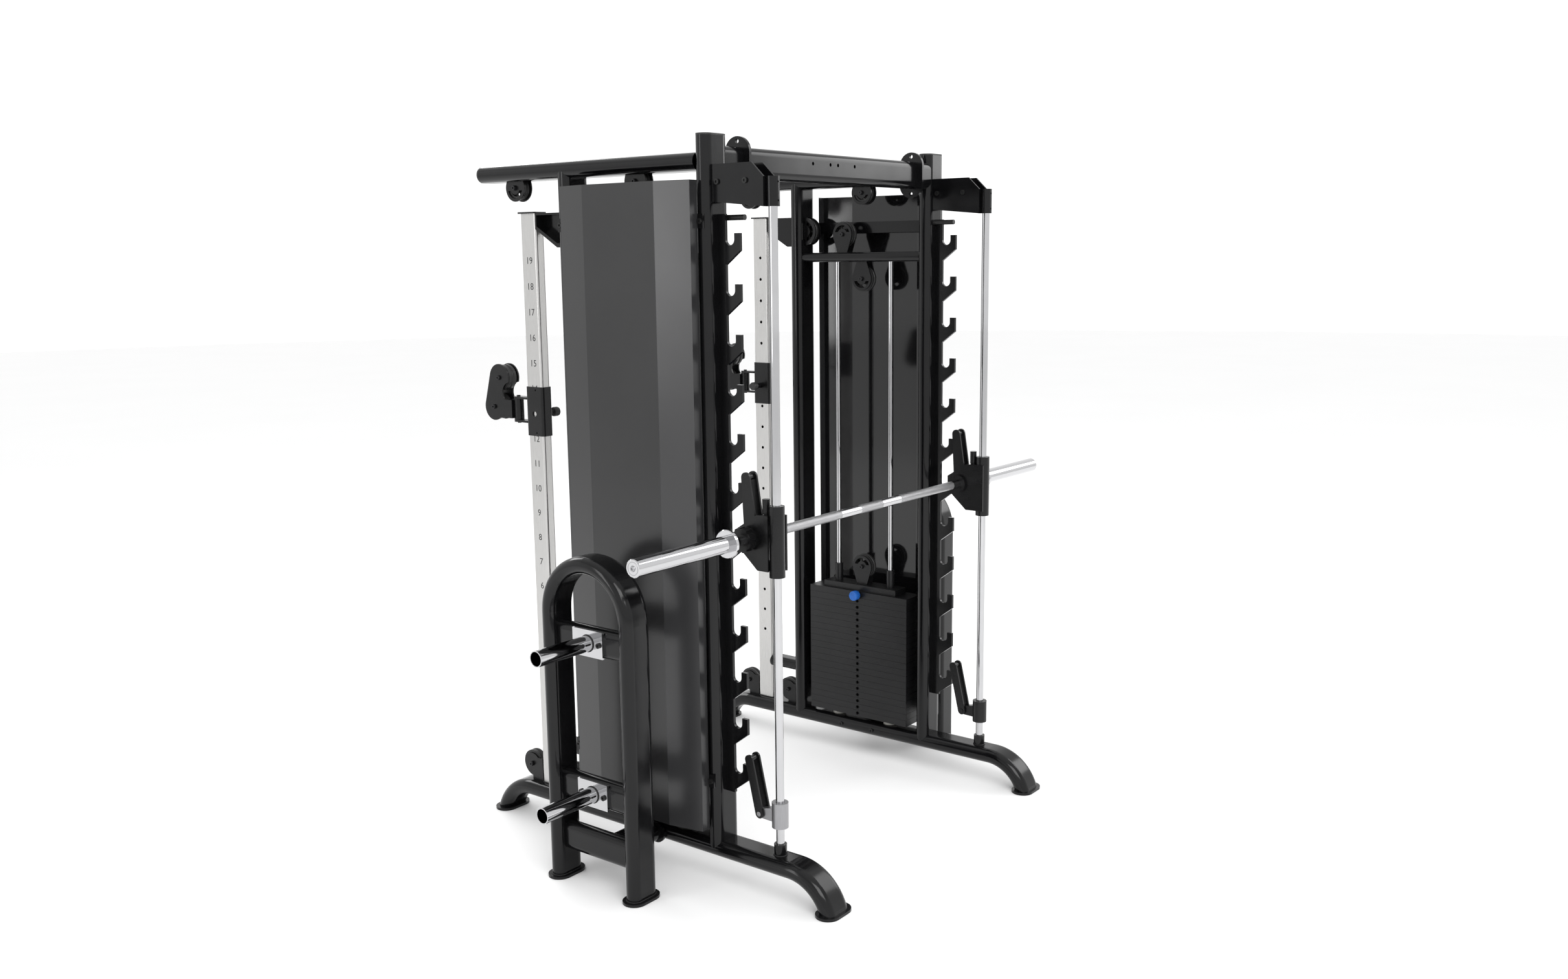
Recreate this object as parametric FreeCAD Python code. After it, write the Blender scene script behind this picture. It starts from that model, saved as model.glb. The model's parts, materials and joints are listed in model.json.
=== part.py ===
import FreeCAD, Part
import math
import os

# Smith machine with two adjustable cable columns and two plate storage arches.
# X runs along the bar, -Y is the front where the bar rides, +Z is up, millimetres.
# The origin is on the floor, midway between the side frames and between their feet.
# Everything is drawn for the left side, at -X, and mirrored to the right.

V = FreeCAD.Vector
ALONG_X = V(1, 0, 0)
ALONG_Y = V(0, 1, 0)
ALONG_Z = V(0, 0, 1)

# ---- overall sizes ----
FRAME_X = 578.0            # side frame's plane, from the middle of the machine
FOOT_Y = 678.0             # centre of each base foot, in front of and behind the origin
UPRIGHT_TOP = 2184.0       # top of the front uprights

# ---- tube sections ----
TUBE_WIDE = 100.0          # flat-oval tube, long way
TUBE_THIN = 50.0           # flat-oval tube, short way
TUBE_WALL = 3.0
BEAM_TALL = 90.0           # flat-oval top beam and arch crossbars
BEAM_DEEP = 46.0
WELD_GAP = 5.0             # how far a coped tube stops short of the other tube's middle

# ---- base ----
RAIL_Z = 103.0             # centre of the base rails
ELBOW_R = 144.0
ELBOW_TURN = 70.0
FOOT_PLATE = 8.0
FOOT_MARGIN = 12.5         # foot plate round the tube

# ---- uprights and arms ----
FRONT_Y = -272.0           # centre of the front uprights
REAR_Y = 280.0             # centre of the rear uprights
ARM_Z = UPRIGHT_TOP - 70.0     # centre of the top arms and the top beam
ARM_END_Y = 653.0
CAP = 5.0                  # moulded end cap
ANCHOR_X = 453.0           # anchor plates on the top beam
ANCHOR_TALL = 150.0
ANCHOR_WIDE = 90.0
ANCHOR_THICK = 10.0
ANCHOR_HOLE_R = 6.5
BEAM_HOLES = (-130.0, -40.0, 0.0, 90.0)
BEAM_HOLE_R = 5.5

# ---- hook racks ----
HOOKS = 12
HOOK_PITCH = 140.0
TOP_TIP_Z = UPRIGHT_TOP - 268.0    # tip of the highest hook
RACK_THICK = 10.0
RACK_PROUD = 27.0          # rack edge in front of the upright
SLOT_DEPTH = 33.0          # tip down to the throat
SLOT_WIDE = 32.0
TIP_WIDE = 20.0
TIP_SIDE = 48.0            # tip's outer face
HOOK_DROP = 87.0           # tip down to the hook's root
RACK_ABOVE = 53.0
HOOK_PIN_R = 9.0

# ---- bar rods ----
ROD_Y = -490.0
ROD_R = 12.5
SOCKET_R = 19.0
SOCKET_TALL = 34.0
CLAMP_TALL = 80.0
CLAMP_TOP = UPRIGHT_TOP - 119.0
CLAMP_WALL = 6.5
CLAMP_SCREW_IN = 15.0      # set screws, in from each end of the clamp
BRACKET_LOW = UPRIGHT_TOP - 182.0  # top bracket against the upright
BRACKET_HIGH = UPRIGHT_TOP - 80.0
BRACKET_NOSE_Y = -438.0    # where its top edge starts to slope
BRACKET_THICK = 6.0
BRACKET_HALF = 22.0        # from the frame plane to each bracket plate's inner face

# ---- bar, carriage and latch ----
BAR_Y = -411.5
BAR_Z = 1065.0             # bar height at rest
SHAFT_R = 14.0
SLEEVE_R = 25.0
SLEEVE_LENGTH = 372.0
SHAFT_OVER = 129.0         # from the frame plane out to the sleeve
FLANGE_R = 41.0
FLANGE_THICK = 10.0
NECK_LONG = 32.0           # cone between flange and shaft
SLIDE_TALL = 205.0         # carriage tube on the rod
SLIDE_R = 23.0
SLIDE_CLEAR = 0.4
SLEEVE_SECTORS = 8
SLIDE_LOW = 5.0            # tube's middle, below the bar
CHEEK_THICK = 6.0
CHEEK_HALF = 21.5          # from the frame plane to each carriage cheek
CHEEK_ABOVE = 70.0
CHEEK_BELOW = 90.0
CHEEK_REAR = 45.0          # cheek behind the bar's middle
BRIDGE_TALL = 28.0         # block that joins the cheeks
POST_TALL = 43.0
BORE_CLEAR = 0.05
BOSS_R = 30.0
BOSS_THICK = 10.0
POST_R = 11.0
LATCH_HALF = 13.0          # from the frame plane to each latch plate
LATCH_THICK = 6.0
LATCH_HUB_R = 24.0
LATCH_HEAD_R = 15.0
LATCH_REACH = 172.0        # bar centre to hook pin
LATCH_LEAN = 6.0           # towards the hooks, at rest
KNOB_R = 36.0
KNOB_LOBES = 8
KNOB_THICK = 26.0

# ---- safety stops ----
STOP_Y = -426.5            # arm's pivot
STOP_Z = 243.0
STOP_TALL = 76.0
STOP_R = 24.5
STOP_REACH = 162.0
STOP_LEAN = 13.0
STOP_PIN_R = 7.0
STOP_HEAD_R = 14.0

# ---- weight stacks ----
STACK_Y = 4.0
STACK_LONG = 430.0
STACK_DEEP = 96.0
STACK_BOTTOM = 145.0
PLATES = 20
PLATE_PITCH = 24.0
PLATE_GAP = 0.6
GUIDE_APART = 230.0
GUIDE_R = 9.0
GUIDE_CLEAR = 1.0
BUMPER_R = 25.0
STEM_R = 11.0
STEM_CLEAR = 1.5
SELECTOR_R = 5.0
SELECTOR_CLEAR = 0.6
SELECTOR_KNOB_R = 17.0
HEAD_LONG = 317.0
HEAD_DEEP = 70.0
HEAD_THICK = 22.0
GUIDE_BUSH_R = 15.0
GUIDE_BUSH_TALL = 65.0
MEMBER_Z = UPRIGHT_TOP - 339.0     # crossmember that carries the guide rods
MEMBER_WIDE = 70.0
MEMBER_THIN = 34.0

# ---- shrouds ----
SHROUD_BOTTOM = 171.0
SHROUD_TOP = UPRIGHT_TOP - 122.0
SHROUD_SHEET = 2.0
SHROUD_EDGE_OUT = 87.0     # folded edge, out from the frame plane
SHROUD_FACE_OUT = 109.0    # flat face, out from the frame plane
SHROUD_FRONT = -267.0
SHROUD_REAR = 245.0
FACET = 115.0
STRAP_THICK = 6.0
STRAP_TALL = 40.0
STRAP_ZS = (300.0, UPRIGHT_TOP - 254.0)
STRAP_PAST = 10.0          # strap past its bolts

# ---- cable columns and trolleys ----
COLUMN_Y = 465.0
COLUMN_LONG = 70.0
COLUMN_DEEP = 36.0
COLUMN_ROUND = 8.0
COLUMN_WALL = 3.0
COLUMN_TOP = UPRIGHT_TOP - 194.0
COLUMN_HOLES = 19
HOLE_PITCH = 80.0
TOP_HOLE_Z = UPRIGHT_TOP - 339.0
COLUMN_HOLE_R = 5.5
REST_HOLE = 13
GUSSET_HALF = 20.0         # from the frame plane to each side of the top gusset
GUSSET_WEB = 6.0
BRACE_Z = 283.0            # brace from rear upright to column
BRACE_TALL = 70.0
BRACE_THIN = 40.0
TROLLEY_CLEAR = 0.5
TROLLEY_WALL = 3.5
TROLLEY_TALL = 156.0
TROLLEY_RAISE = 8.0        # trolley's centre above its pin
WINDOW_R = 9.0
POP_PIN_R = 5.0
POP_BARREL_R = 10.0
POP_BARREL = 22.0
POP_KNOB_R = 14.0
POP_TRAVEL = 12.0
SWIVEL_Y = 561.0
SWIVEL_R = 16.0
SWIVEL_TALL = 67.0
SWIVEL_PIN_R = 6.0
LUG_THICK = 7.0
LUG_GAP = 0.5
GUARD_HALF = 19.0          # from the frame plane to each swivel guard
GUARD_THICK = 5.0
GUARD_R = 44.0
UPPER_WHEEL = (625.0, 109.0)   # y, and height above the pin
LOWER_WHEEL = (652.0, 14.0)

# ---- pulleys ----
WHEEL_R = 45.0
SMALL_WHEEL_R = 36.0
SWIVEL_WHEEL_R = 41.0
WHEEL_WIDE = 22.0
SWIVEL_WHEEL_WIDE = 30.0
GROOVE_R = 5.0
WHEEL_SPOKES = 6
AXLE_R = 5.0
CHEEK_GAP = 2.0            # pulley to its side plates
SIDE_PLATE = 4.0
PAD = 5.0                  # foot under a standing bracket
EAR_WIDE = 24.0            # flange that carries the rear upright's guards
WHEEL_UNDER_ARM = 19.0     # top wheels' axles, below the arm

# ---- plate storage ----
ARCH_OUT = 262.0           # arch, out from the frame plane
ARCH_Y = -19.0
ARCH_HALF = 156.0          # arch centre to each leg
ARCH_SPRING = 828.0        # where the legs end and the bend starts
ARCH_SEGMENT = 45          # degrees of bend in each of its four segments
HORN_ZS = (755.0, 295.0)
LOW_BAR_Z = 130.0
HORN_R = 24.0
HORN_WALL = 3.0
HORN_REACH = 230.0         # horn tip, out from the arch
HORN_PLATE = (120.0, 80.0, 8.0)
LINK_FLANGE = 8.0

PEG_R = 8.0
PEG_LONG = 80.0
BOLT_HEAD_R = 8.0
BOLT_HEAD_TALL = 5.0
BOLT_SOCKET_R = 3.5
BOLT_SHANK_R = 5.0
BOLT_CLEAR = 0.25
SCREW_R = 3.0              # small set screws
RAIL_STUD_YS = (78.0, -60.0)
BRACKET_STUD_YS = (-317.0, -417.0)
BRACKET_STUD_Z = BRACKET_HIGH - 48.0

# ---- sizes worked out ----
BAR_LENGTH = 2 * (FRAME_X + SHAFT_OVER + SLEEVE_LENGTH)
SHROUD_EDGE_X = FRAME_X + SHROUD_EDGE_OUT
SHROUD_FACE_X = FRAME_X + SHROUD_FACE_OUT
ARCH_X = FRAME_X + ARCH_OUT
HORN_TIP_X = ARCH_X + HORN_REACH
TUBE_FLAT = TUBE_THIN / 2
RAIL_TOP = RAIL_Z + TUBE_FLAT
FACE_Y = FRONT_Y - TUBE_FLAT
SLOT_Y = FACE_Y - RACK_PROUD - SLOT_WIDE / 2
ARM_BOTTOM = ARM_Z - TUBE_FLAT
TOP_WHEEL_Z = ARM_BOTTOM - WHEEL_UNDER_ARM
PAD_HALF = WHEEL_WIDE / 2 + CHEEK_GAP + SIDE_PLATE
BOLT_FRONT_Y = SHROUD_FRONT - BOLT_HEAD_R - 1      # strap bolts clear the shroud's front return
BRACKET_OUTER = BRACKET_HALF + BRACKET_THICK
STACK_TOP = STACK_BOTTOM + PLATES * PLATE_PITCH
HEAD_TOP = STACK_TOP + HEAD_THICK
MEMBER_TOP = MEMBER_Z + MEMBER_THIN / 2
MEMBER_BOTTOM = MEMBER_Z - MEMBER_THIN / 2
REST_HOLE_Z = TOP_HOLE_Z - (COLUMN_HOLES - REST_HOLE) * HOLE_PITCH
TROLLEY_Z = REST_HOLE_Z + TROLLEY_RAISE
TROLLEY_LONG = COLUMN_LONG + 2 * (TROLLEY_CLEAR + TROLLEY_WALL)
TROLLEY_DEEP = COLUMN_DEEP + 2 * (TROLLEY_CLEAR + TROLLEY_WALL)

os.makedirs("parts", exist_ok=True)


# ---- shape helpers ----
def box(x0, x1, y0, y1, z0, z1):
    return Part.makeBox(x1 - x0, y1 - y0, z1 - z0, V(x0, y0, z0))


def rod(radius, start, direction, length):
    return Part.makeCylinder(radius, length, start, direction)


def fuse(shapes):
    joined = shapes[0]
    for shape in shapes[1:]:
        joined = joined.fuse(shape)
    return joined.removeSplitter()


def turned(shape, axis, angle, centre=V(0, 0, 0)):
    copy = shape.copy()
    copy.rotate(centre, axis, angle)
    return copy


def moved(shape, x, y, z):
    copy = shape.copy()
    copy.translate(V(x, y, z))
    return copy


def mirrored(shape):
    return shape.mirror(V(0, 0, 0), ALONG_X)


def both(shapes):
    """The left side's solids and their mirror images."""
    return list(shapes) + [mirrored(shape) for shape in shapes]


def oval_wire(wide, thin):
    r = thin / 2
    c = wide / 2 - r
    return Part.Wire([
        Part.LineSegment(V(-c, -r, 0), V(c, -r, 0)).toShape(),
        Part.Arc(V(c, -r, 0), V(c + r, 0, 0), V(c, r, 0)).toShape(),
        Part.LineSegment(V(c, r, 0), V(-c, r, 0)).toShape(),
        Part.Arc(V(-c, r, 0), V(-c - r, 0, 0), V(-c, -r, 0)).toShape(),
    ])


def oval_bar(wide, thin, length):
    """Solid flat-oval bar along +Z, its long way along X."""
    return Part.Face(oval_wire(wide, thin)).extrude(V(0, 0, length))


def oval_tube(wide, thin, length, wall=TUBE_WALL):
    inside = oval_bar(wide - 2 * wall, thin - 2 * wall, length)
    return oval_bar(wide, thin, length).cut(inside)


def lie_along_y(shape):
    return turned(shape, ALONG_X, -90)


def stand_along_x(shape):
    """Long way upright, length along +X."""
    return turned(shape, ALONG_Y, 90)


def lie_along_x(shape):
    """Long way along Y, length along +X."""
    return turned(turned(shape, ALONG_Z, 90), ALONG_Y, 90)


def outline(points, x0, x1):
    """A plate between x0 and x1 from (y, z) corners."""
    ring = [V(x0, y, z) for y, z in points]
    return Part.Face(Part.makePolygon(ring + ring[:1])).extrude(V(x1 - x0, 0, 0))


def strap(y0, z0, r0, y1, z1, r1, x0, x1):
    """Plate between x0 and x1 that wraps two round ends and their common tangents."""
    gap = math.hypot(y1 - y0, z1 - z0)
    aim = math.atan2(z1 - z0, y1 - y0)
    spread = math.acos((r0 - r1) / gap)
    corners = []
    for y, z, r, side in ((y0, z0, r0, 1), (y1, z1, r1, 1), (y1, z1, r1, -1), (y0, z0, r0, -1)):
        angle = aim + side * spread
        corners.append((y + r * math.cos(angle), z + r * math.sin(angle)))
    ends = [rod(r0, V(x0, y0, z0), ALONG_X, x1 - x0), rod(r1, V(x0, y1, z1), ALONG_X, x1 - x0)]
    return fuse([outline(corners, x0, x1)] + ends)


def swept(path, wide, thin, profile_at):
    profile = profile_at(oval_wire(wide, thin))
    return Part.Wire(path).makePipeShell([profile], True, False)


def apart(shapes):
    """Welded pieces as touching solids: each is cut back from those before it."""
    kept = []
    for shape in shapes:
        for other in kept:
            shape = shape.cut(other)
        kept.append(shape)
    return kept


def sectors(sleeve, y):
    """A sleeve round a vertical line as equal wedges, so that each piece is nearly convex."""
    bounds = sleeve.BoundBox
    step = 360 / SLEEVE_SECTORS
    pieces = []
    for i in range(SLEEVE_SECTORS):
        rays = [math.radians(step * i), math.radians(step * (i + 1))]
        ring = [V(-FRAME_X, y, bounds.ZMin)]
        for a in rays:
            ring.append(V(-FRAME_X + TUBE_WIDE * math.cos(a), y + TUBE_WIDE * math.sin(a), bounds.ZMin))
        wedge = Part.Face(Part.makePolygon(ring + ring[:1])).extrude(V(0, 0, bounds.ZLength))
        pieces.append(sleeve.common(wedge))
    return pieces


def save(name, shapes):
    solids = []
    for shape in shapes:
        solids += shape.Solids
    Part.makeCompound(solids).exportStep(f"parts/{name}.step")


# ---- base, uprights, arms and beam, all at -FRAME_X ----
def half_rail(wide, thin):
    """The rail from the middle to the rear foot."""
    turn = math.radians(ELBOW_TURN)
    start_y = FOOT_Y - ELBOW_R * math.sin(turn)
    low_z = RAIL_Z - ELBOW_R

    def on_bend(angle):
        return V(0, start_y + ELBOW_R * math.sin(angle), low_z + ELBOW_R * math.cos(angle))

    end = on_bend(turn)
    beyond = end + V(0, math.cos(turn), -math.sin(turn)) * TUBE_THIN
    path = [
        Part.LineSegment(V(0, 0, RAIL_Z), on_bend(0)).toShape(),
        Part.Arc(on_bend(0), on_bend(turn / 2), end).toShape(),
        Part.LineSegment(end, beyond).toShape(),
    ]
    return swept(path, wide, thin, lambda w: moved(turned(w, ALONG_X, -90), 0, 0, RAIL_Z))


def whole_rail(wide, thin):
    rear = half_rail(wide, thin)
    joined = fuse([rear, rear.mirror(V(0, 0, 0), ALONG_Y)])
    floor = box(-wide, wide, -2 * FOOT_Y, 2 * FOOT_Y, -2 * RAIL_Z, FOOT_PLATE)
    return moved(joined.cut(floor), -FRAME_X, 0, 0)


rail_solid = whole_rail(TUBE_WIDE, TUBE_THIN)
rail_hollow = whole_rail(TUBE_WIDE - 2 * TUBE_WALL, TUBE_THIN - 2 * TUBE_WALL)
arm_start = FRONT_Y + TUBE_FLAT
arm_solid = moved(lie_along_y(oval_bar(TUBE_WIDE, TUBE_THIN, ARM_END_Y - arm_start)),
                  -FRAME_X, arm_start, ARM_Z)
arm_hollow = moved(lie_along_y(oval_bar(TUBE_WIDE - 2 * TUBE_WALL, TUBE_THIN - 2 * TUBE_WALL,
                                        ARM_END_Y - arm_start)), -FRAME_X, arm_start, ARM_Z)


def upright(y, top):
    bottom = RAIL_Z + WELD_GAP
    tube = moved(oval_tube(TUBE_WIDE, TUBE_THIN, top - bottom), -FRAME_X, y, bottom)
    return tube.cut(rail_solid)


def foot_plate(x, y):
    return moved(oval_bar(TUBE_WIDE + 2 * FOOT_MARGIN, TUBE_THIN + 2 * FOOT_MARGIN, FOOT_PLATE), x, y, 0)


# ---- pulleys and their brackets ----
def wheel(radius, wide, x, y, z):
    """A grooved wheel with spokes, turning about X, its middle at x."""
    half = wide / 2
    body = rod(radius, V(-half, 0, 0), ALONG_X, wide)
    groove = Part.makeTorus(radius + GROOVE_R * 0.2, GROOVE_R, V(0, 0, 0), ALONG_X)
    body = body.cut(groove)
    rim = radius - 2 * GROOVE_R
    hub = AXLE_R + 7
    pocket = rod(rim, V(0, 0, 0), ALONG_X, wide).cut(rod(hub, V(0, 0, 0), ALONG_X, wide))
    web = wide / 5
    body = body.cut(moved(pocket, web / 2, 0, 0)).cut(moved(pocket, -web / 2 - wide, 0, 0))
    mid = (rim + hub) / 2
    window_r = (rim - hub) / 2 - 2
    for i in range(WHEEL_SPOKES):
        angle = math.radians(360 / WHEEL_SPOKES * (i + 0.5))
        centre = V(-half, mid * math.cos(angle), mid * math.sin(angle))
        body = body.cut(rod(window_r, centre, ALONG_X, wide))
    body = body.cut(rod(AXLE_R + BORE_CLEAR, V(-half, 0, 0), ALONG_X, wide))
    return moved(body, x, y, z)


def side_plates(wide, make):
    """A pair of plates either side of a wheel; make draws one between two x values."""
    inner = wide / 2 + CHEEK_GAP
    outer = inner + SIDE_PLATE
    return [make(-FRAME_X - outer, -FRAME_X - inner), make(-FRAME_X + inner, -FRAME_X + outer)]


def axle(wide, y, z):
    """The bolt through a wheel and its plates, with a head outside each plate."""
    half = wide / 2 + CHEEK_GAP + SIDE_PLATE
    shank = rod(AXLE_R, V(-FRAME_X - half, y, z), ALONG_X, 2 * half)
    head = rod(BOLT_HEAD_R, V(-FRAME_X - half - BOLT_HEAD_TALL, y, z), ALONG_X, BOLT_HEAD_TALL)
    nut = rod(BOLT_HEAD_R, V(-FRAME_X + half, y, z), ALONG_X, BOLT_HEAD_TALL)
    return fuse([head, shank, nut])


def bracket(wide, y, z, make, base=None):
    """Side plates, axle and a base pad, fused as one welded bracket."""
    pieces = side_plates(wide, make) + [axle(wide, y, z)]
    if base is not None:
        pieces.append(base)
    return fuse(pieces)


def crescent(x0, x1, y, z, radius, tilt):
    """Half-moon slot through a side plate, as a tool."""
    ring = rod(radius, V(x0, y, z), ALONG_X, x1 - x0).cut(rod(radius * 0.62, V(x0, y, z), ALONG_X, x1 - x0))
    half = box(x0, x1, y - radius, y + radius, z - radius, z - radius * 0.25)
    return turned(ring.common(half), ALONG_X, tilt, V(0, y, z))


def standing_bracket(y, z, floor_z, radius, tilt):
    """Teardrop side plates that stand on a flat, or hang from one."""
    def plate(x0, x1):
        drop = strap(y, z, radius * 0.9, y, floor_z, radius * 0.45, x0, x1)
        drop = drop.cut(crescent(x0, x1, y, z, radius * 0.72, tilt))
        lower, upper = sorted((floor_z, z))
        if floor_z < z:
            keep = box(x0, x1, y - 2 * radius, y + 2 * radius, lower, upper + 2 * radius)
        else:
            keep = box(x0, x1, y - 2 * radius, y + 2 * radius, lower - 2 * radius, upper)
        return drop.common(keep)
    pad_z = floor_z if floor_z < z else floor_z - PAD
    pad_y = radius * 0.45
    pad = box(-FRAME_X - PAD_HALF, -FRAME_X + PAD_HALF, y - pad_y, y + pad_y, pad_z, pad_z + PAD)
    return bracket(WHEEL_WIDE, y, z, plate, pad)


def sunk_bracket(y, z):
    """Rounded guards that hang below a slot in the top arm."""
    guard = SMALL_WHEEL_R + 6

    def plate(x0, x1):
        disc = rod(guard, V(x0, y, z), ALONG_X, x1 - x0)
        disc = disc.cut(crescent(x0, x1, y, z, guard * 0.78, 0))
        return disc.common(box(x0, x1, y - guard, y + guard, z - guard, ARM_BOTTOM))
    return bracket(WHEEL_WIDE, y, z, plate)


def upright_bracket(y, z):
    """Half-round guards in front of the rear upright, let into its slot."""
    guard = WHEEL_R + 6
    back = REAR_Y - TUBE_FLAT + TUBE_WALL

    def plate(x0, x1):
        disc = rod(guard, V(x0, y, z), ALONG_X, x1 - x0)
        disc = disc.cut(crescent(x0, x1, y, z, guard * 0.78, -90))
        return disc.common(box(x0, x1, y - guard, back + AXLE_R + 9, z - guard, z + guard))
    front = REAR_Y - TUBE_FLAT
    ear = WHEEL_WIDE / 2 + CHEEK_GAP
    ears = [box(x0, x0 + EAR_WIDE, front - SIDE_PLATE, front, z - 30, z + 30)
            for x0 in (-FRAME_X - ear - EAR_WIDE, -FRAME_X + ear)]
    return fuse([bracket(WHEEL_WIDE, y, z, plate)] + ears)


def foot_bracket(y, z, wall_y):
    """Side plates that stand on the base rail and lean on the tube behind them."""
    reach = WHEEL_R * 0.8

    def plate(x0, x1):
        low = min(wall_y, y)
        high = max(wall_y, y)
        web = box(x0, x1, low, high, RAIL_TOP, z + 25)
        above_rail = box(x0, x1, y - reach, y + reach, RAIL_TOP, z + reach)
        disc = rod(reach, V(x0, y, z), ALONG_X, x1 - x0).common(above_rail)
        return fuse([web, disc])
    return bracket(WHEEL_WIDE, y, z, plate)


STATIONS = {
    "pulley_arm_rear": (SMALL_WHEEL_R, 518.0, TOP_WHEEL_Z),
    "pulley_arm_middle": (SMALL_WHEEL_R, STACK_Y, TOP_WHEEL_Z),
    "pulley_upright": (WHEEL_R, REAR_Y + TUBE_FLAT - 2 - WHEEL_R, UPRIGHT_TOP - 245),
    "pulley_over_member": (WHEEL_R, STACK_Y + 84, MEMBER_TOP + 64),
    "pulley_under_member": (WHEEL_R, STACK_Y, MEMBER_BOTTOM - 60),
    "pulley_column_foot": (WHEEL_R, COLUMN_Y + COLUMN_LONG / 2 + WHEEL_R + 4, RAIL_TOP + 54),
    "pulley_upright_foot": (WHEEL_R, REAR_Y + TUBE_FLAT + WHEEL_R + 4, RAIL_TOP + 50),
}
for name, (radius, y, z) in STATIONS.items():
    left_wheel = wheel(radius, WHEEL_WIDE, -FRAME_X, y, z)
    save(name + "_left", [left_wheel])
    save(name + "_right", [mirrored(left_wheel)])


def place(name):
    return STATIONS[name][1:]


static_brackets = [
    sunk_bracket(*place("pulley_arm_rear")),
    sunk_bracket(*place("pulley_arm_middle")),
    upright_bracket(*place("pulley_upright")),
    standing_bracket(*place("pulley_over_member"), MEMBER_TOP, WHEEL_R, 180),
    standing_bracket(*place("pulley_under_member"), MEMBER_BOTTOM, WHEEL_R, 0),
    foot_bracket(*place("pulley_column_foot"), COLUMN_Y + COLUMN_LONG / 2),
    foot_bracket(*place("pulley_upright_foot"), REAR_Y + TUBE_FLAT),
]
save("pulley_brackets", both(static_brackets))


# ---- frame nodes ----
rail = rail_solid.cut(rail_hollow)
straight_end = FOOT_Y - ELBOW_R * math.sin(math.radians(ELBOW_TURN))
middle = box(-2 * FRAME_X, 0, -straight_end, straight_end, 0, 2 * RAIL_Z)
save("base_rails", both([rail.common(middle), rail.cut(middle)]))
foot_places = [(-FRAME_X, -FOOT_Y), (-FRAME_X, FOOT_Y),
               (-ARCH_X, ARCH_Y - ARCH_HALF), (-ARCH_X, ARCH_Y + ARCH_HALF)]
save("foot_plates", both([foot_plate(x, y) for x, y in foot_places]))
rear = upright(REAR_Y, ARM_Z - WELD_GAP).cut(arm_solid)
slot_half = WHEEL_WIDE / 2 + CHEEK_GAP + SIDE_PLATE
upright_wheel_z = STATIONS["pulley_upright"][2]
cut_tall = WHEEL_R + 6
upright_slot = slot_half + BOLT_HEAD_TALL + 2
rear = rear.cut(box(-FRAME_X - upright_slot, -FRAME_X + upright_slot, REAR_Y - TUBE_THIN, REAR_Y + TUBE_THIN,
                    upright_wheel_z - cut_tall, upright_wheel_z + cut_tall))
save("uprights", both([upright(FRONT_Y, UPRIGHT_TOP), rear]))

arm = arm_solid.cut(arm_hollow)
for name in ("pulley_arm_rear", "pulley_arm_middle"):
    wheel_y = STATIONS[name][1]
    arm = arm.cut(box(-FRAME_X - slot_half, -FRAME_X + slot_half, wheel_y - SMALL_WHEEL_R - 6,
                      wheel_y + SMALL_WHEEL_R + 6, ARM_BOTTOM - TUBE_WALL, ARM_BOTTOM + 2 * TUBE_WALL))
save("top_arms", both([arm]))

beam_end = FRAME_X - TUBE_WIDE / 2 + TUBE_FLAT - WELD_GAP
front_solid = moved(oval_bar(TUBE_WIDE, TUBE_THIN, UPRIGHT_TOP), -FRAME_X, FRONT_Y, 0)
beam = moved(stand_along_x(oval_tube(BEAM_TALL, BEAM_DEEP, 2 * beam_end)), -beam_end, FRONT_Y, ARM_Z)
for solid in both([front_solid, arm_solid]):
    beam = beam.cut(solid)
for hole_x in BEAM_HOLES:
    beam = beam.cut(rod(BEAM_HOLE_R, V(hole_x, FRONT_Y - BEAM_DEEP, ARM_Z + 12), ALONG_Y, BEAM_DEEP))
save("top_beam", [beam])

anchor = stand_along_x(oval_bar(ANCHOR_TALL, ANCHOR_WIDE, ANCHOR_THICK))
anchor = moved(anchor, -ANCHOR_X - ANCHOR_THICK, FRONT_Y, ARM_Z)
anchor = anchor.cut(moved(stand_along_x(oval_bar(BEAM_TALL, BEAM_DEEP, 3 * ANCHOR_THICK)),
                          -ANCHOR_X - 2 * ANCHOR_THICK, FRONT_Y, ARM_Z))
anchor_reach = ANCHOR_TALL / 2 - 14
for side in (-1, 1):
    hole_at = V(-ANCHOR_X - 2 * ANCHOR_THICK, FRONT_Y, ARM_Z + side * anchor_reach)
    anchor = anchor.cut(rod(ANCHOR_HOLE_R, hole_at, ALONG_X, 3 * ANCHOR_THICK))
save("anchor_plates", both([anchor]))

plug = oval_bar(TUBE_WIDE, TUBE_THIN, CAP)
caps = [moved(plug, -FRAME_X, FRONT_Y, UPRIGHT_TOP),
        moved(lie_along_y(plug), -FRAME_X, ARM_END_Y, ARM_Z)]
save("tube_caps", both(caps))


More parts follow.
